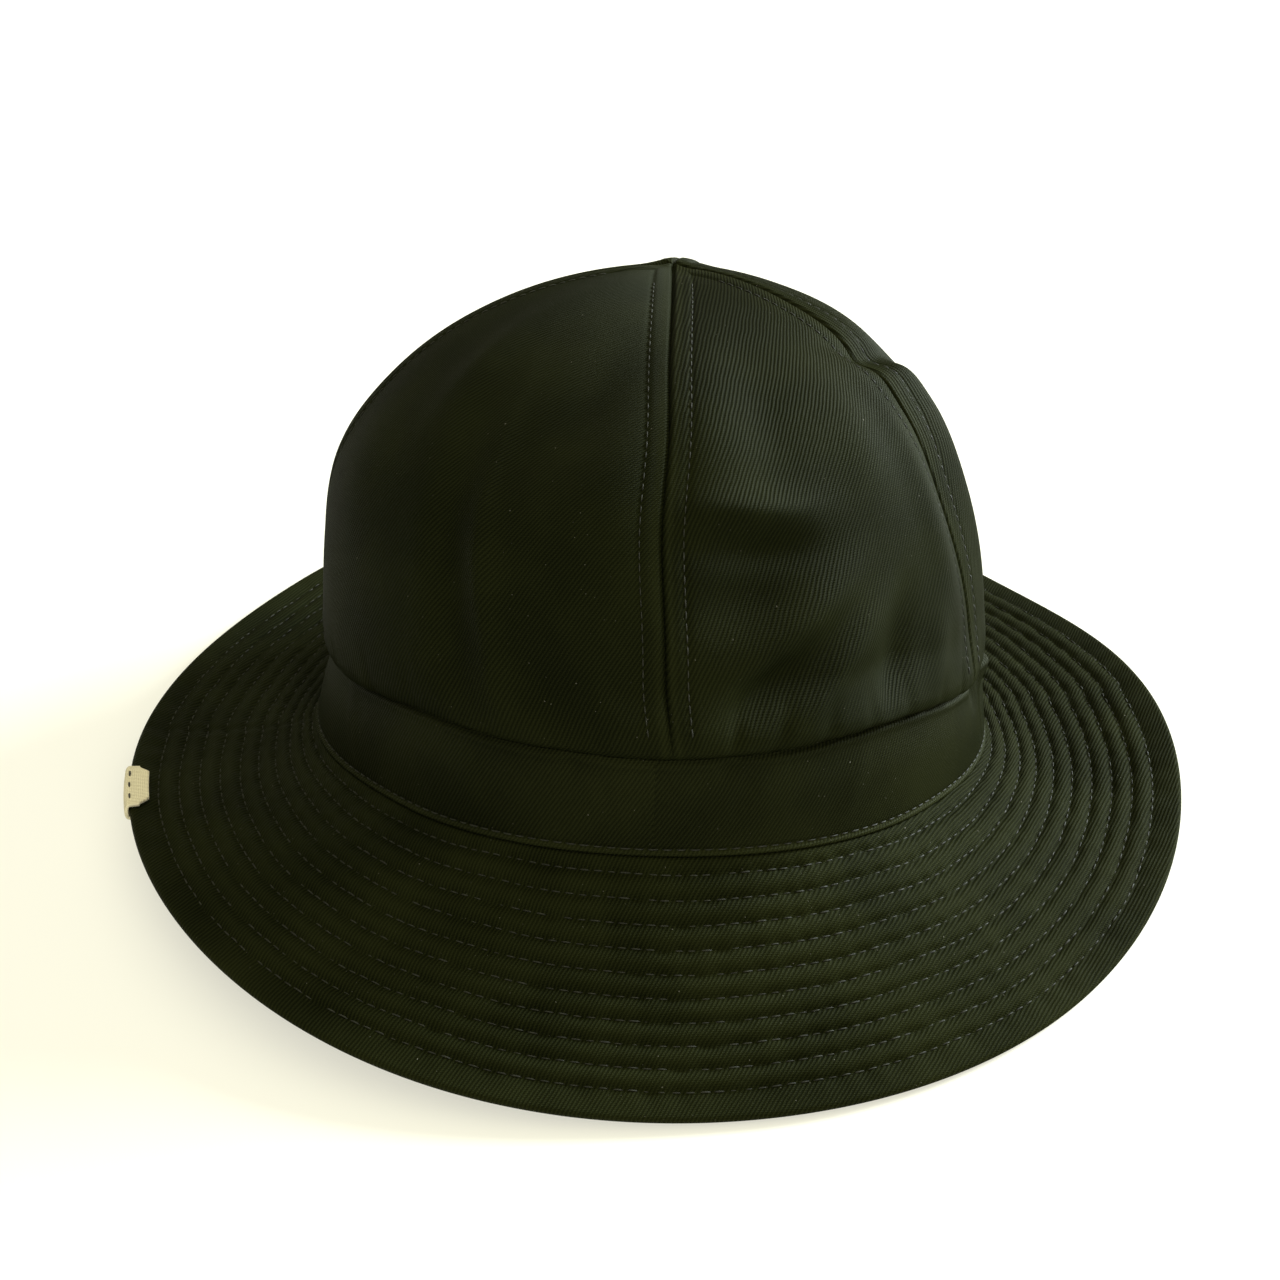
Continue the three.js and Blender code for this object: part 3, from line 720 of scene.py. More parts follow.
def through_points(before, start, end, after, part):
    """Smooth curve between two points that also heeds their neighbours."""
    return 0.5 * (2 * start + (end - before) * part + (2 * before - 5 * start + 4 * end - after) * part ** 2
                  + (3 * start - before - 3 * end + after) * part ** 3)


def curl_rows(rows, steps):
    """Rows through the given ones, up to the last but one."""
    smooth = []
    for index in range(len(rows) - 2):
        before = rows[max(index - 1, 0)]
        for step in range(steps):
            smooth.append(through_points(before, rows[index], rows[index + 1], rows[index + 2], step / steps))
    return np.stack(smooth)


def foot_lip(azimuth, table, depth):
    """Rows of the panel's foot, from the crease at the band's top out to the puffed wall.

    Each row of the table holds its parts of the puff, the tucks and the crease, and its rise.
    """
    puff = station_curve(FOOT_PUFF, azimuth)
    crease = crease_depth(azimuth)
    tuck = fold_height(FOOT_TUCKS, azimuth, 1.0, SEAM_HALF_WIDTH)
    top = BAND_HEIGHT + swell(BAND_RISES, azimuth) + CREASE_GAP
    rows = []
    for of_puff, of_tuck, of_crease, rise in table:
        out = of_puff * puff + of_tuck * tuck - of_crease * crease - depth
        rows.append(head_seam(azimuth, out, top + rise))
    return rows


print("a panel has", PANEL_COLUMNS, "columns and", PANEL_ROWS + 3 * FOOT_STEPS, "rows")


# %% Crown panels
TWILL_ANGLE = 58


def crown_panel(name, first_seam, second_seam):
    station = np.linspace(FOOT_STATION, TIP_STATION, PANEL_ROWS)[:, None]
    low = seam_azimuth(first_seam, station)
    high = seam_azimuth(second_seam, station)
    high = np.where(high < low, high + 360, high)
    middle = (low + high) / 2
    radius = crown_form(middle, station)[3]
    arc = np.radians(high - low) * np.maximum(radius, TIP_RADIUS)
    place = panel_places(arc)
    azimuth = low + (high - low) * place / arc
    points, normal, up, radius = crown_form(azimuth, station)
    seam_distance = np.minimum(place, arc - place)
    relief = crown_relief(azimuth, up, radius, seam_distance)
    outer = points + normal * relief[..., None]
    inner = outer - normal * CROWN_WALL
    outer_lip = foot_lip(azimuth[0], LIP_OUTER, 0)
    inner_lip = foot_lip(azimuth[0], LIP_INNER, CROWN_WALL)
    outer = np.concatenate([curl_rows(outer_lip + [outer[0], outer[CURL_AHEAD]], FOOT_STEPS), outer])
    inner = np.concatenate([curl_rows(inner_lip + [inner[0], inner[CURL_AHEAD]], FOOT_STEPS), inner])
    rows, columns = outer.shape[:2]

    length = np.linalg.norm(np.diff(outer, axis=0), axis=-1).mean(axis=1)
    upward = np.concatenate([[0], np.cumsum(length)])[:, None]
    sideways = np.radians(azimuth - middle) * radius
    sideways = np.concatenate([np.repeat(sideways[:1], rows - len(sideways), axis=0), sideways])
    weave = turn_weave(sideways, upward + 0 * sideways, TWILL_ANGLE).reshape(-1, 2)
    edge = mound(seam_distance, WELT_WEAR_PLACE, WELT_WEAR_REACH)
    wear_and_shade = np.concatenate([np.repeat(edge[:1], rows - len(edge), axis=0), edge])
    faces = wall_faces(rows, columns)
    weave = np.concatenate([weave, weave])
    wear_and_shade = np.concatenate([wear_and_shade.ravel(), np.zeros(rows * columns)])
    skin = np.concatenate([outer.reshape(-1, 3), inner.reshape(-1, 3)])
    panel = cloth_piece(f"{name}_cloth", lean_back(skin), faces, weave[faces], wear_and_shade, crown_twill)
    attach(panel, "root")
    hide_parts(name)


for side, first_seam, second_seam in (("front_right", "front", "right"), ("back_right", "right", "back"),
                                      ("back_left", "back", "left"), ("front_left", "left", "front")):
    crown_panel(f"crown_panel_{side}", first_seam, second_seam)

# %% [markdown]
# ## Band
# The band is a doubled strip that stands on the brim. Its lower edge is turned under and stitched down, so
# it has a small rolled foot with a dip just above it. Below the right seam the cloth bunches into a pucker.
# The strip is one closed section swept round the head seam.

# %% Band
BAND_STEPS = 640
BAND_INNER_ROWS = 5
BAND_STITCH_UP = 1.9
BAND_STITCH_REACH = 0.5
BAND_ROLL = 0.45
BAND_ROLL_UP = 0.7
BAND_ROLL_REACH = 0.8
BAND_EDGE = 0.35
BAND_EDGE_DOWN = 1.9
BAND_EDGE_REACH = 1.0
BAND_LEAN_START = 0.55
BAND_TUCK_START = 0.945
BAND_FOLDS_FULL = (0.2, 0.9)
BAND_FOOT_PART = 0.12
BAND_TOP_PART = 0.86
BAND_WEAR_UP = 0.8
BAND_WEAR_REACH = 0.9
BAND_FOLDS = [
    (91, 22, 6, 7, 0, 2.2), (81, 17, 5.5, 9, 0, -1.0), (87, 21, 1.2, 8, 8, -0.8),
    (94, 21, 1.3, 8, -8, -0.8), (79, 26.5, 5, 4.5, 0, 3.0), (71, 24, 2.4, 6, 10, -1.2),
    (76, 14, 1.6, 10, 14, -0.6), (14, 17, 2.2, 9, -16, -0.45), (-8, 18, 2.0, 9, 14, -0.4),
    (33, 15, 3.0, 10, -24, 0.5), (-30, 14, 3.4, 9, 22, 0.5), (-62, 15, 3.0, 10, 18, 0.5),
    (-13, 24, 2.2, 4, 10, -1.0), (11.5, 24, 2.6, 4, -10, -1.1),
]


def band_rows(azimuth, part, depth):
    """Points of the band: part runs from its foot to its top."""
    height = BAND_HEIGHT + swell(BAND_RISES, azimuth)
    up = PIECE_GAP + (height - PIECE_GAP) * part
    bulge = BAND_BULGE * np.sin(np.pi * part)
    folded = smooth_step(part, 0, BAND_FOLDS_FULL[0]) * (1 - smooth_step(part, BAND_FOLDS_FULL[1], 1))
    bulge = bulge + fold_height(BAND_FOLDS, azimuth, up, SEAM_HALF_WIDTH) * folded
    lean = CREASE_LEAN * smooth_step(part, BAND_LEAN_START, 1)
    lean = lean + (1 - CREASE_LEAN) * smooth_step(part, BAND_TUCK_START, 1)
    edge = BAND_EDGE * mound(up - height, -BAND_EDGE_DOWN, BAND_EDGE_REACH)
    roll = BAND_ROLL * mound(up, BAND_ROLL_UP, BAND_ROLL_REACH)
    roll = roll - BAND_ROLL * mound(up, BAND_STITCH_UP, BAND_STITCH_REACH)
    outside = (edge + roll) * (depth == 0)
    return head_seam(azimuth, bulge - crease_depth(azimuth) * lean + outside - depth, up)


band_azimuth = np.linspace(0, 360, BAND_STEPS, endpoint=False)[None, :]
foot_part = np.linspace(0, BAND_FOOT_PART, 8)
wall_part = np.linspace(BAND_FOOT_PART, BAND_TOP_PART, 14)[1:]
top_part = np.linspace(BAND_TOP_PART, 1, 12)[1:]
band_part = np.concatenate([foot_part, wall_part, top_part])[:, None]
inner_part = np.linspace(1, 0, BAND_INNER_ROWS)[:, None]
band_outer = band_rows(band_azimuth, band_part, 0.0)
band_inner = band_rows(band_azimuth, inner_part, BAND_WALL)
band_skin = np.concatenate([band_outer, band_inner])
band_up = np.concatenate([band_part, inner_part]) * BAND_HEIGHT
band_faces = grid_faces(len(band_skin), BAND_STEPS, True, True)
band_turn = np.linspace(0, math.radians(360), BAND_STEPS + 1) * (SEAM_HALF_WIDTH + SEAM_HALF_DEPTH) / 2
band_weave = turn_weave(band_turn[None, :] + 0 * band_up, band_up + 0 * band_turn[None, :], TWILL_ANGLE)
row_index, column_index = np.divmod(band_faces, BAND_STEPS)
wrapped = (column_index == 0) & (column_index.max(axis=1, keepdims=True) == BAND_STEPS - 1)
column_index = np.where(wrapped, BAND_STEPS, column_index)
band_wear = mound(band_up, BAND_WEAR_UP, BAND_WEAR_REACH) * np.ones((1, BAND_STEPS))
band_wear[len(band_part):] = 0
hat_band = cloth_piece("hat_band_cloth", lean_back(band_skin).reshape(-1, 3), band_faces,
                       band_weave[row_index, column_index], band_wear, band_twill)
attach(hat_band, "root")
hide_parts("hat_band")

# %% [markdown]
# ## Brim
# Two layers of twill are quilted by ten rows of stitching, and between the rows the cloth pillows up into
# soft ribs. The two halves of the brim meet in a seam on each side, where the rows shift a little.
# The section is swept round like the band's, with several points for each rib, so the ribs are real shape
# and catch the light from any side. The underside carries the same rows on a coarser grid.

# %% Section of the brim
ROW_COUNT = 10
ROW_FIRST = 3.5
ROW_PITCH = 5.4
ROW_GROOVE = 1.15
ROW_STEP = 0.8
ROW_STEP_AZIMUTHS = (6, 91, 93)
ROW_WAVES = [(7, 1.0, 0.16), (19, 0, 0.12)]
PULL_WAVES = [(41, 2.1, 0.12), (83, 4.3, 0.08)]
RIB_ROUND = 0.75
RIB_PUCKER = 0.16
PUCKER_COUNT = 97
PUCKER_START = 5.7
PUCKER_SWAY = [(17, 0, 1.4)]
BRIM_EDGE_ROUND = 1.0
BRIM_TURN_IN = 2.6
BRIM_SIDE_SEAMS = (98, -86)
SIDE_SEAM_SINK = 0.3
SIDE_SEAM_REACH = 1.1
SIDE_SEAM_WELT = 0.15
SIDE_SEAM_WELT_PLACE = 3.2
SIDE_SEAM_WELT_REACH = 2
SIDE_SEAM_FADE = (0, 8)
BRIM_STEPS = 600
RIB_POINTS = 9
UNDER_RIB_POINTS = 4
UNDER_FIRST = 1.6
last_row = ROW_FIRST + ROW_PITCH * (ROW_COUNT - 1)


def add_waves(total, table, azimuth, shift=1.0):
    """Adds sines round the hat, each given by its count, start and size."""
    angle = np.radians(azimuth)
    for count, start, size in table:
        total = total + size * np.sin(count * angle + start * shift)
    return total


def row_shift(azimuth):
    """How far the stitched rows stray from their even places."""
    middle, low, high = ROW_STEP_AZIMUTHS
    behind = smooth_step(np.abs(turn_from(middle, azimuth)), low, high)
    return add_waves(ROW_STEP * behind, ROW_WAVES, azimuth)


def rib_depth(azimuth, distance):
    """How far the quilted face lies under the ribs' crests."""
    count = (distance - ROW_FIRST - row_shift(azimuth)) / ROW_PITCH
    margin = (distance - last_row - row_shift(azimuth)) / (BRIM_WIDTH - last_row) / 2
    crest = np.where(distance > last_row + row_shift(azimuth), np.sin(np.pi * np.clip(margin, 0, 0.5)),
                     np.abs(np.sin(np.pi * count)))
    row = np.floor(count)
    pull = add_waves(1, PULL_WAVES, azimuth, row)
    sway = add_waves(PUCKER_COUNT * np.radians(azimuth) + PUCKER_START * row, PUCKER_SWAY, azimuth)
    ripple = RIB_PUCKER * (1 - crest ** 2) * np.sin(sway)
    return ROW_GROOVE * pull * (1 - crest ** RIB_ROUND) + ripple


def side_seam_depth(azimuth):
    """Sunk line with a raised edge where the brim's halves meet."""
    total = np.zeros_like(azimuth, dtype=float)
    for middle in BRIM_SIDE_SEAMS:
        away = np.radians(turn_from(middle, azimuth)) * (SEAM_HALF_WIDTH + BRIM_WIDTH / 2)
        total = total + SIDE_SEAM_SINK * mound(away, 0, SIDE_SEAM_REACH)
        total = total - SIDE_SEAM_WELT * mound(away, SIDE_SEAM_WELT_PLACE, SIDE_SEAM_WELT_REACH)
    return total


def quilted_depth(azimuth, distance):
    return rib_depth(azimuth, distance) + side_seam_depth(azimuth) * smooth_step(distance, *SIDE_SEAM_FADE)


upper_distance = np.concatenate([
    np.linspace(0, ROW_FIRST, 7)[:-1],
    ROW_FIRST + ROW_PITCH * np.arange((ROW_COUNT - 1) * RIB_POINTS) / RIB_POINTS,
    np.linspace(last_row, BRIM_WIDTH - BRIM_EDGE_ROUND, 12),
])
under_distance = np.concatenate([
    np.linspace(BRIM_WIDTH - BRIM_EDGE_ROUND, last_row, 6),
    ROW_FIRST + ROW_PITCH * np.arange((ROW_COUNT - 1) * UNDER_RIB_POINTS - 1, -1, -1) / UNDER_RIB_POINTS,
    np.array([UNDER_FIRST, 0]),
])
print(len(upper_distance), "points across the upper face,", len(under_distance), "across the underside")

# %% Brim
UNDER_DEPTH_PART = 0.45
BRIM_TWILL_ANGLE = 62
# Crest value of the brim's ribs: paler crests for wear, and darker grooves as painted shade.
RIB_WEAR_AND_SHADE = 0.5
EDGE_ANGLES = (50.0, 20.0, -10.0, -40.0)
brim_azimuth = np.linspace(0, 360, BRIM_STEPS, endpoint=False)[None, :]
upper = upper_distance[:, None]
under = under_distance[:, None]
upper_depth = quilted_depth(brim_azimuth, upper)
under_depth = BRIM_WALL - UNDER_DEPTH_PART * rib_depth(brim_azimuth, under)
edge_lift = swell(EDGE_LIFTS, brim_azimuth)
upper_points = brim_point(brim_azimuth, upper, upper_depth)
under_points = brim_point(brim_azimuth, under, under_depth)
near_edge = under > last_row
under_points[..., 2] = np.where(near_edge, np.maximum(under_points[..., 2], edge_lift), under_points[..., 2])
edge_angle = np.radians(np.array(EDGE_ANGLES))[:, None]
edge_out = BRIM_WIDTH - BRIM_EDGE_ROUND + BRIM_EDGE_ROUND * np.cos(edge_angle)
edge_points = brim_point(brim_azimuth, edge_out, BRIM_WALL / 2 * (1 - np.sin(edge_angle)))
edge_points[..., 2] = np.maximum(edge_points[..., 2], edge_lift)
rim_top = lean_back(head_seam(brim_azimuth, -BRIM_TURN_IN, 0.0))
rim_under = lean_back(head_seam(brim_azimuth, -BRIM_TURN_IN, -BRIM_WALL))
brim_skin = np.concatenate([rim_top, upper_points, edge_points, under_points, rim_under])
turned_in = np.array([[-BRIM_TURN_IN]])
brim_reach = np.concatenate([turned_in, upper, edge_out, under, turned_in])
brim_faces = grid_faces(len(brim_skin), BRIM_STEPS, True, True)
flat = outward(brim_azimuth) * (SEAM_HALF_WIDTH + brim_reach)[..., None]
brim_weave = turn_weave(flat[..., 0], flat[..., 1], BRIM_TWILL_ANGLE).reshape(-1, 2)
edge_start = len(upper) + 1
brim_wear_and_shade = np.zeros(brim_skin.shape[:2])
# Rib crests are paled for wear, and the grooves between them are left darker as painted shade; the edge is
# paled for wear.
brim_wear_and_shade[1:edge_start] = RIB_WEAR_AND_SHADE * (1 - upper_depth / ROW_GROOVE)
brim_wear_and_shade[edge_start:edge_start + len(edge_out)] = 1
brim = cloth_piece("brim_cloth", brim_skin.reshape(-1, 3), brim_faces,
                   brim_weave[brim_faces], brim_wear_and_shade, brim_twill)
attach(brim, "root")
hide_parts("brim")

# %% [markdown]
# ## Ribbon tab
# A short beige ribbon is folded over the brim's edge on the left and held by three dark stitches.
# It follows the brim's formula a little above and below the cloth, so it hugs the edge exactly.

# %% Tab
TAB_AZIMUTH = -73.2
TAB_LENGTH = 18.5
TAB_LEG = 5.2
TAB_CORNER_CUT = 2.6
TAB_WALL = 1.0
TAB_COLUMNS = 37
TAB_LEG_ROWS = 9
TAB_CORNER_PART = (0.66, 0.97)
RIBBON_CORD_PITCH = 0.7
RIBBON_CROSS_PITCH = 0.5
RIBBON_RANGE = (-1.4, 1.2)
RIBBON_DARK = (0.46, 0.4, 0.25, 1)
RIBBON_LIGHT = (0.72, 0.66, 0.46, 1)


def ribbon_weave_material():
    ribbon = Shading("tab_ribbon")
    weave, across, along = ribbon.weave_map()
    cords = ribbon.math("SINE", ribbon.math("MULTIPLY", across, 2 * math.pi / RIBBON_CORD_PITCH))
    crossings = ribbon.math("SINE", ribbon.math("MULTIPLY", along, 2 * math.pi / RIBBON_CROSS_PITCH))
    height = ribbon.math("ADD", cords, ribbon.math("MULTIPLY", crossings, 0.5))
    fibre = ribbon.math("SUBTRACT", ribbon.noise(weave, 2.6, 3), 0.5)
    height = ribbon.math("ADD", height, ribbon.math("MULTIPLY", fibre, 2.0))
    colour = ribbon.mix(ribbon.between(height, *RIBBON_RANGE), RIBBON_DARK, RIBBON_LIGHT)
    ribbon.connect(colour, ribbon.shader.inputs["Base Color"])
    ribbon.connect(ribbon.between(height, *RIBBON_RANGE, 0.9, 0.7), ribbon.shader.inputs["Roughness"])
    ribbon.shader.inputs["Specular IOR Level"].default_value = 0.25
    ribbon.shader.inputs["Sheen Weight"].default_value = 0.15
    ribbon.bump(height, 0.00012, 0.5)
    return ribbon.material


tab_half_angle = math.degrees(TAB_LENGTH / 2 / (SEAM_HALF_WIDTH + BRIM_WIDTH))
tab_across = np.linspace(-1, 1, TAB_COLUMNS)[None, :]
tab_azimuth = TAB_AZIMUTH + tab_half_angle * tab_across
corner_part = smooth_step(np.abs(tab_across), *TAB_CORNER_PART)
leg = TAB_LEG - TAB_CORNER_CUT * corner_part
leg_part = np.linspace(1, 0, TAB_LEG_ROWS)[:, None]
bend = np.radians(np.linspace(-90, 90, 9))[1:-1, None]


def tab_layer(cover):
    """Rows from the end of the lower leg, round the edge, to the end of the upper leg."""
    reach = PIECE_GAP + cover
    lower = brim_point(tab_azimuth, BRIM_WIDTH - leg * leg_part, BRIM_WALL + reach)
    middle = BRIM_WALL / 2
    depth = middle - (middle + reach) * np.sin(bend)
    round_edge = brim_point(tab_azimuth, BRIM_WIDTH + reach * np.cos(bend), depth)
    upper_leg = brim_point(tab_azimuth, BRIM_WIDTH - leg * leg_part[::-1], -reach)
    return np.concatenate([lower, round_edge, upper_leg])


tab_outer = tab_layer(TAB_WALL)
tab_inner = tab_layer(0.0)
tab_rows = len(tab_outer)
tab_lengths = np.linalg.norm(np.diff(tab_outer, axis=0), axis=-1).mean(axis=1)
tab_along = np.concatenate([[0], np.cumsum(tab_lengths)])[:, None]
tab_weave = np.stack(np.broadcast_arrays(tab_across * TAB_LENGTH / 2, tab_along), axis=-1).reshape(-1, 2)
tab_faces = wall_faces(tab_rows, TAB_COLUMNS)
tab_skin = np.concatenate([tab_outer.reshape(-1, 3), tab_inner.reshape(-1, 3)])
tab_ribbon = ribbon_weave_material()
tab = cloth_piece("brim_tab_ribbon", tab_skin, tab_faces, np.concatenate([tab_weave, tab_weave])[tab_faces],
                  np.zeros(len(tab_skin)), tab_ribbon)
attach(tab, "root")
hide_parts("brim_tab")

# %% [markdown]
# ## Stitches
# Thousands of stitches follow the quilted rows, the crown's seams and the band's foot. Placing each by hand
# would be hopeless, and a texture would vanish from the side. Geometry Nodes lay one small thread loop along
# a path at an even spacing, turned along the path and lying on the cloth, with a little seeded unevenness.
# The path is a mesh of edges that carries the cloth's outward way at each point.


# %% Thread and one stitch
STITCH_SIDES = 5
STITCH_RINGS = [(-0.5, 0.45, -0.7), (-0.28, 0.95, 0.25), (0.0, 1.0, 0.45),
                (0.28, 0.95, 0.25), (0.5, 0.45, -0.7)]
STRAND_SCALE = 2600
STRAND_RANGE = (0.3, 0.7)


def thread_material(name, dark, light):
    thread = Shading(name)
    place = thread.tree.nodes.new("ShaderNodeTexCoord")
    strands = thread.noise(place.outputs["Object"], STRAND_SCALE, 3)
    colour = thread.mix(thread.between(strands, *STRAND_RANGE), (*dark, 1), (*light, 1))
    thread.connect(colour, thread.shader.inputs["Base Color"])
    thread.connect(thread.between(strands, *STRAND_RANGE, 0.8, 0.55), thread.shader.inputs["Roughness"])
    thread.shader.inputs["Specular IOR Level"].default_value = 0.3
    thread.bump(strands, 0.0001, 0.4)
    return thread.material


def stitch_mesh(name, length, width, height):
    """A thread loop: five sides, thick in the middle, diving into the cloth at both ends."""
    sides = np.radians(np.arange(STITCH_SIDES) * 360 / STITCH_SIDES + 18)
    rings = []
    for along, size, rise in STITCH_RINGS:
        ring_y = width / 2 * size * np.cos(sides)
        ring_z = height / 2 * (size * np.sin(sides) + rise)
        rings.append(np.stack([np.full(STITCH_SIDES, along * length), ring_y, ring_z], axis=-1))
    points = np.concatenate(rings) * MM
    faces = [tuple(face) for face in grid_faces(len(rings), STITCH_SIDES, False, True)]
    faces.append(tuple(range(STITCH_SIDES - 1, -1, -1)))
    faces.append(tuple(range(len(points) - STITCH_SIDES, len(points))))
    mesh = bpy.data.meshes.new(name)
    mesh.from_pydata([tuple(point) for point in points], [], faces)
    mesh.shade_smooth()
    return bpy.data.objects.new(name, mesh)


pale_thread = thread_material("pale_thread", (0.005, 0.0056, 0.0022), (0.0165, 0.0172, 0.0085))
dark_thread = thread_material("dark_thread", (0.012, 0.011, 0.009), (0.05, 0.046, 0.036))
row_stitch = stitch_mesh("row_stitch", length=2.4, width=0.4, height=0.42)
seam_stitch = stitch_mesh("seam_stitch", length=2.0, width=0.34, height=0.4)
tab_stitch = stitch_mesh("tab_stitch", length=2.6, width=0.55, height=0.55)
print("one stitch has", len(row_stitch.data.polygons), "faces")


# %% Geometry Nodes tree for a stitched path
STITCH_INPUTS = {"Path": "Geometry", "Stitch": "Object", "Spacing": "Float", "Unevenness": "Float",
                 "Thread": "Material", "Seed": "Int"}
STITCH_NODES = {
    "enter": "NodeGroupInput",
    "curve": "GeometryNodeMeshToCurve",
    "even": "GeometryNodeResampleCurve",
    "tangent": "GeometryNodeInputTangent",
    "cloth_way": "GeometryNodeInputNamedAttribute",
    "along": "FunctionNodeAlignRotationToVector",
    "upright": "FunctionNodeAlignRotationToVector",
    "object": "GeometryNodeObjectInfo",
    "less": "ShaderNodeMath",
    "more": "ShaderNodeMath",
    "size": "FunctionNodeRandomValue",
    "place": "GeometryNodeInstanceOnPoints",
    "solid": "GeometryNodeRealizeInstances",
    "paint": "GeometryNodeSetMaterial",
    "leave": "NodeGroupOutput",
}
STITCH_LINKS = [
    ("enter", "Path", "curve", "Mesh"),
    ("curve", "Curve", "even", "Curve"),
    ("enter", "Spacing", "even", "Length"),
    ("tangent", 0, "along", "Vector"),
    ("along", 0, "upright", "Rotation"),
    ("cloth_way", "Attribute", "upright", "Vector"),
    ("enter", "Stitch", "object", "Object"),
    ("enter", "Unevenness", "less", 1),
    ("enter", "Unevenness", "more", 1),
    ("less", 0, "size", 2),
    ("more", 0, "size", 3),
    ("enter", "Seed", "size", "Seed"),
    ("even", "Curve", "place", "Points"),
    ("object", "Geometry", "place", "Instance"),
    ("upright", 0, "place", "Rotation"),
    ("size", 1, "place", "Scale"),
    ("place", "Instances", "solid", "Geometry"),
    ("solid", "Geometry", "paint", "Geometry"),
    ("enter", "Thread", "paint", "Material"),
    ("paint", "Geometry", "leave", "Stitches"),
]


def stitch_tree():
    tree = bpy.data.node_groups.new("stitches_along_path", "GeometryNodeTree")
    identifiers = {}
    for label, kind in STITCH_INPUTS.items():
        socket = tree.interface.new_socket(label, in_out="INPUT", socket_type=f"NodeSocket{kind}")
        identifiers[label] = socket.identifier
    tree.interface.new_socket("Stitches", in_out="OUTPUT", socket_type="NodeSocketGeometry")
    made = {label: tree.nodes.new(kind) for label, kind in STITCH_NODES.items()}
    made["even"].mode = "LENGTH"
    made["cloth_way"].data_type = "FLOAT_VECTOR"
    made["cloth_way"].inputs["Name"].default_value = "cloth_way"
    made["along"].axis = "X"
    made["upright"].axis = "Z"
    made["upright"].pivot_axis = "X"
    made["less"].operation = "SUBTRACT"
    made["less"].inputs[0].default_value = 1.0
    made["more"].inputs[0].default_value = 1.0
    made["size"].data_type = "FLOAT"
    for source, output, target, entry in STITCH_LINKS:
        tree.links.new(made[source].outputs[output], made[target].inputs[entry])
    return tree, identifiers


stitches_along_path, stitch_inputs = stitch_tree()
print("stitch tree inputs:", sorted(stitch_inputs))


# %% Sewing a set of paths
STITCH_UNEVENNESS = 0.12


def settle(piece):
    """Turns a piece made by Geometry Nodes into a plain mesh."""
    bpy.context.view_layer.update()
    evaluated = piece.evaluated_get(bpy.context.evaluated_depsgraph_get())
    mesh = bpy.data.meshes.new_from_object(evaluated)
    piece.modifiers.clear()
    piece.data = mesh


def sew(name, paths, stitch, spacing, thread, seed):
    """Each path has points in millimetres, the cloth's outward ways and a flag for a closed ring."""
    points, ways, edges = [], [], []
    for path, way, closed in paths:
        start = sum(len(part) for part in points)
        index = np.arange(start, start + len(path))
        ends = np.roll(index, -1) if closed else index[1:]
        edges += list(zip(index.tolist(), ends.tolist()))
        points.append(path * MM)
        ways.append(way)
    mesh = bpy.data.meshes.new(name)
    mesh.from_pydata([tuple(point) for point in np.concatenate(points)], edges, [])
    cloth_way = mesh.attributes.new("cloth_way", "FLOAT_VECTOR", "POINT")
    cloth_way.data.foreach_set("vector", np.concatenate(ways).astype(np.float32).ravel())
    piece = bpy.data.objects.new(name, mesh)
    bpy.context.scene.collection.objects.link(piece)
    sewing = piece.modifiers.new("sewing", "NODES")
    sewing.node_group = stitches_along_path
    settings = {"Stitch": stitch, "Spacing": spacing * MM, "Unevenness": STITCH_UNEVENNESS,
                "Thread": thread, "Seed": seed}
    for label, value in settings.items():
        sewing[stitch_inputs[label]] = value
    settle(piece)
    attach(piece, "root")
    print(f"{name}: {len(piece.data.polygons)} faces on {len(paths)} paths")


# %% Stitches of the brim
ROW_SPACING = 3.3
STITCH_RISE = 0.12
PATH_POINTS = 720


def brim_row_path(row, under_face):
    azimuth = np.linspace(0, 360, PATH_POINTS, endpoint=False)
    distance = ROW_FIRST + ROW_PITCH * row + row_shift(azimuth)
    depth = quilted_depth(azimuth, distance)
    if under_face:
        depth = BRIM_WALL - UNDER_DEPTH_PART * ROW_GROOVE
    points = brim_point(azimuth, distance, depth)
    ahead = np.roll(points, -1, axis=0) - np.roll(points, 1, axis=0)
    across = brim_point(azimuth, distance + 0.5) - brim_point(azimuth, distance - 0.5)
    way = np.cross(across, ahead)
    way /= np.linalg.norm(way, axis=1, keepdims=True)
    way = -way if under_face else way
    return points + way * STITCH_RISE, way, True


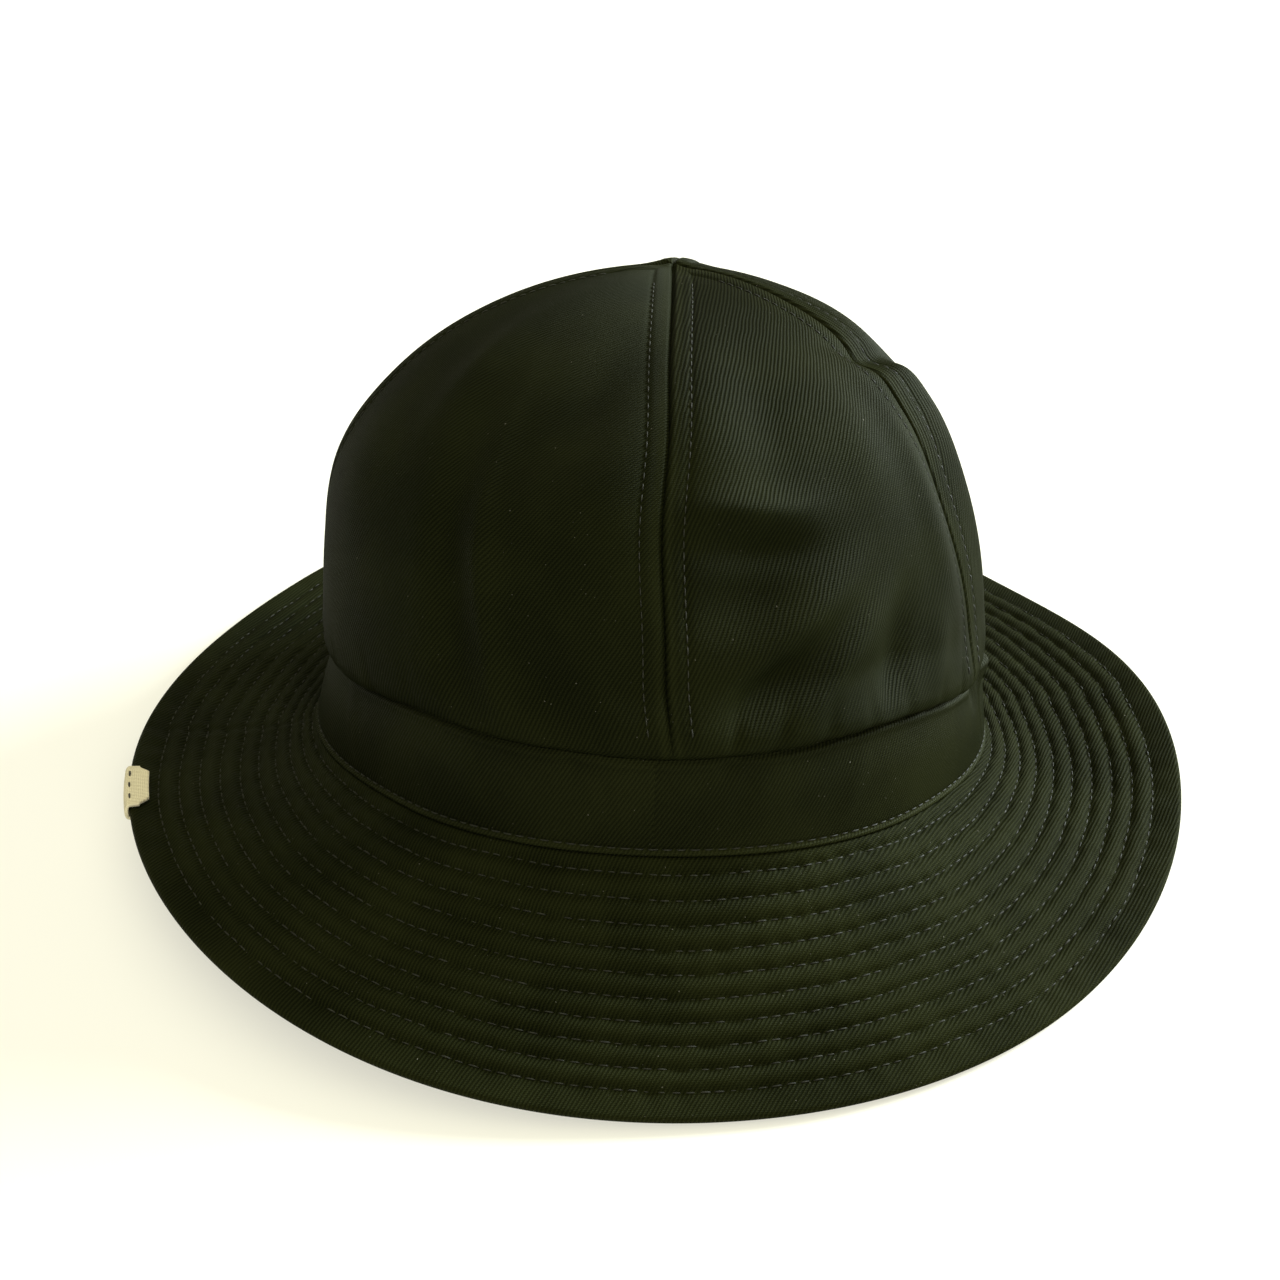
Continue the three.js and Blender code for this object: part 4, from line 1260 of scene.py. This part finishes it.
upper_rows = [brim_row_path(row, False) for row in range(ROW_COUNT)]
under_rows = [brim_row_path(row, True) for row in range(ROW_COUNT)]
sew("brim_row_stitches", upper_rows, row_stitch, ROW_SPACING, pale_thread, seed=3)
sew("brim_under_stitches", under_rows, row_stitch, ROW_SPACING, pale_thread, seed=4)


# %% Stitches of the crown's seams and the band
SEAM_SPACING = 2.7
SEAM_PATH_STATIONS = (FOOT_STATION + 0.15, CROWN_TOP - 1.25)
SEAM_PATH_POINTS = 160


def seam_path(name, side):
    """A row of stitches beside a crown seam; side is -1 or 1."""
    station = np.linspace(*SEAM_PATH_STATIONS, SEAM_PATH_POINTS)
    seam = seam_azimuth(name, station)
    radius = crown_form(seam, station)[3]
    azimuth = seam + side * np.degrees(SEAM_STITCH_DISTANCE / radius)
    points, way, up, radius = crown_form(azimuth, station)
    relief = crown_relief(azimuth, up, radius, np.full_like(up, SEAM_STITCH_DISTANCE))
    points = lean_back(points + way * (relief + STITCH_RISE)[:, None])
    way = lean_back(way) - lean_back(np.zeros(3))
    return points, way, False


def band_foot_path():
    azimuth = np.linspace(0, 360, PATH_POINTS, endpoint=False)
    part = (BAND_STITCH_UP - PIECE_GAP) / (BAND_HEIGHT - PIECE_GAP)
    points = lean_back(band_rows(azimuth, part, 0.0))
    way = lean_back(outward(azimuth)) - lean_back(np.zeros(3))
    return points + way * STITCH_RISE, way, True


seam_paths = [seam_path(name, side) for name in SEAMS for side in (-1, 1)]
sew("crown_seam_stitches", seam_paths, seam_stitch, SEAM_SPACING, pale_thread, seed=5)
sew("band_foot_stitches", [band_foot_path()], row_stitch, ROW_SPACING, pale_thread, seed=6)

# %% Stitches of the tab
TAB_STITCH_SPAN = 0.58
TAB_STITCH_IN = 0.2
TAB_SPACING = 5.3
tab_path_azimuth = TAB_AZIMUTH + tab_half_angle * np.linspace(-TAB_STITCH_SPAN, TAB_STITCH_SPAN, 12)
tab_points = brim_point(tab_path_azimuth, BRIM_WIDTH - TAB_STITCH_IN, -PIECE_GAP - TAB_WALL)
tab_way = np.repeat([[0.0, 0.0, 1.0]], len(tab_points), axis=0)
tab_path = (tab_points + tab_way * STITCH_RISE, tab_way, False)
sew("tab_stitches", [tab_path], tab_stitch, TAB_SPACING, dark_thread, seed=7)
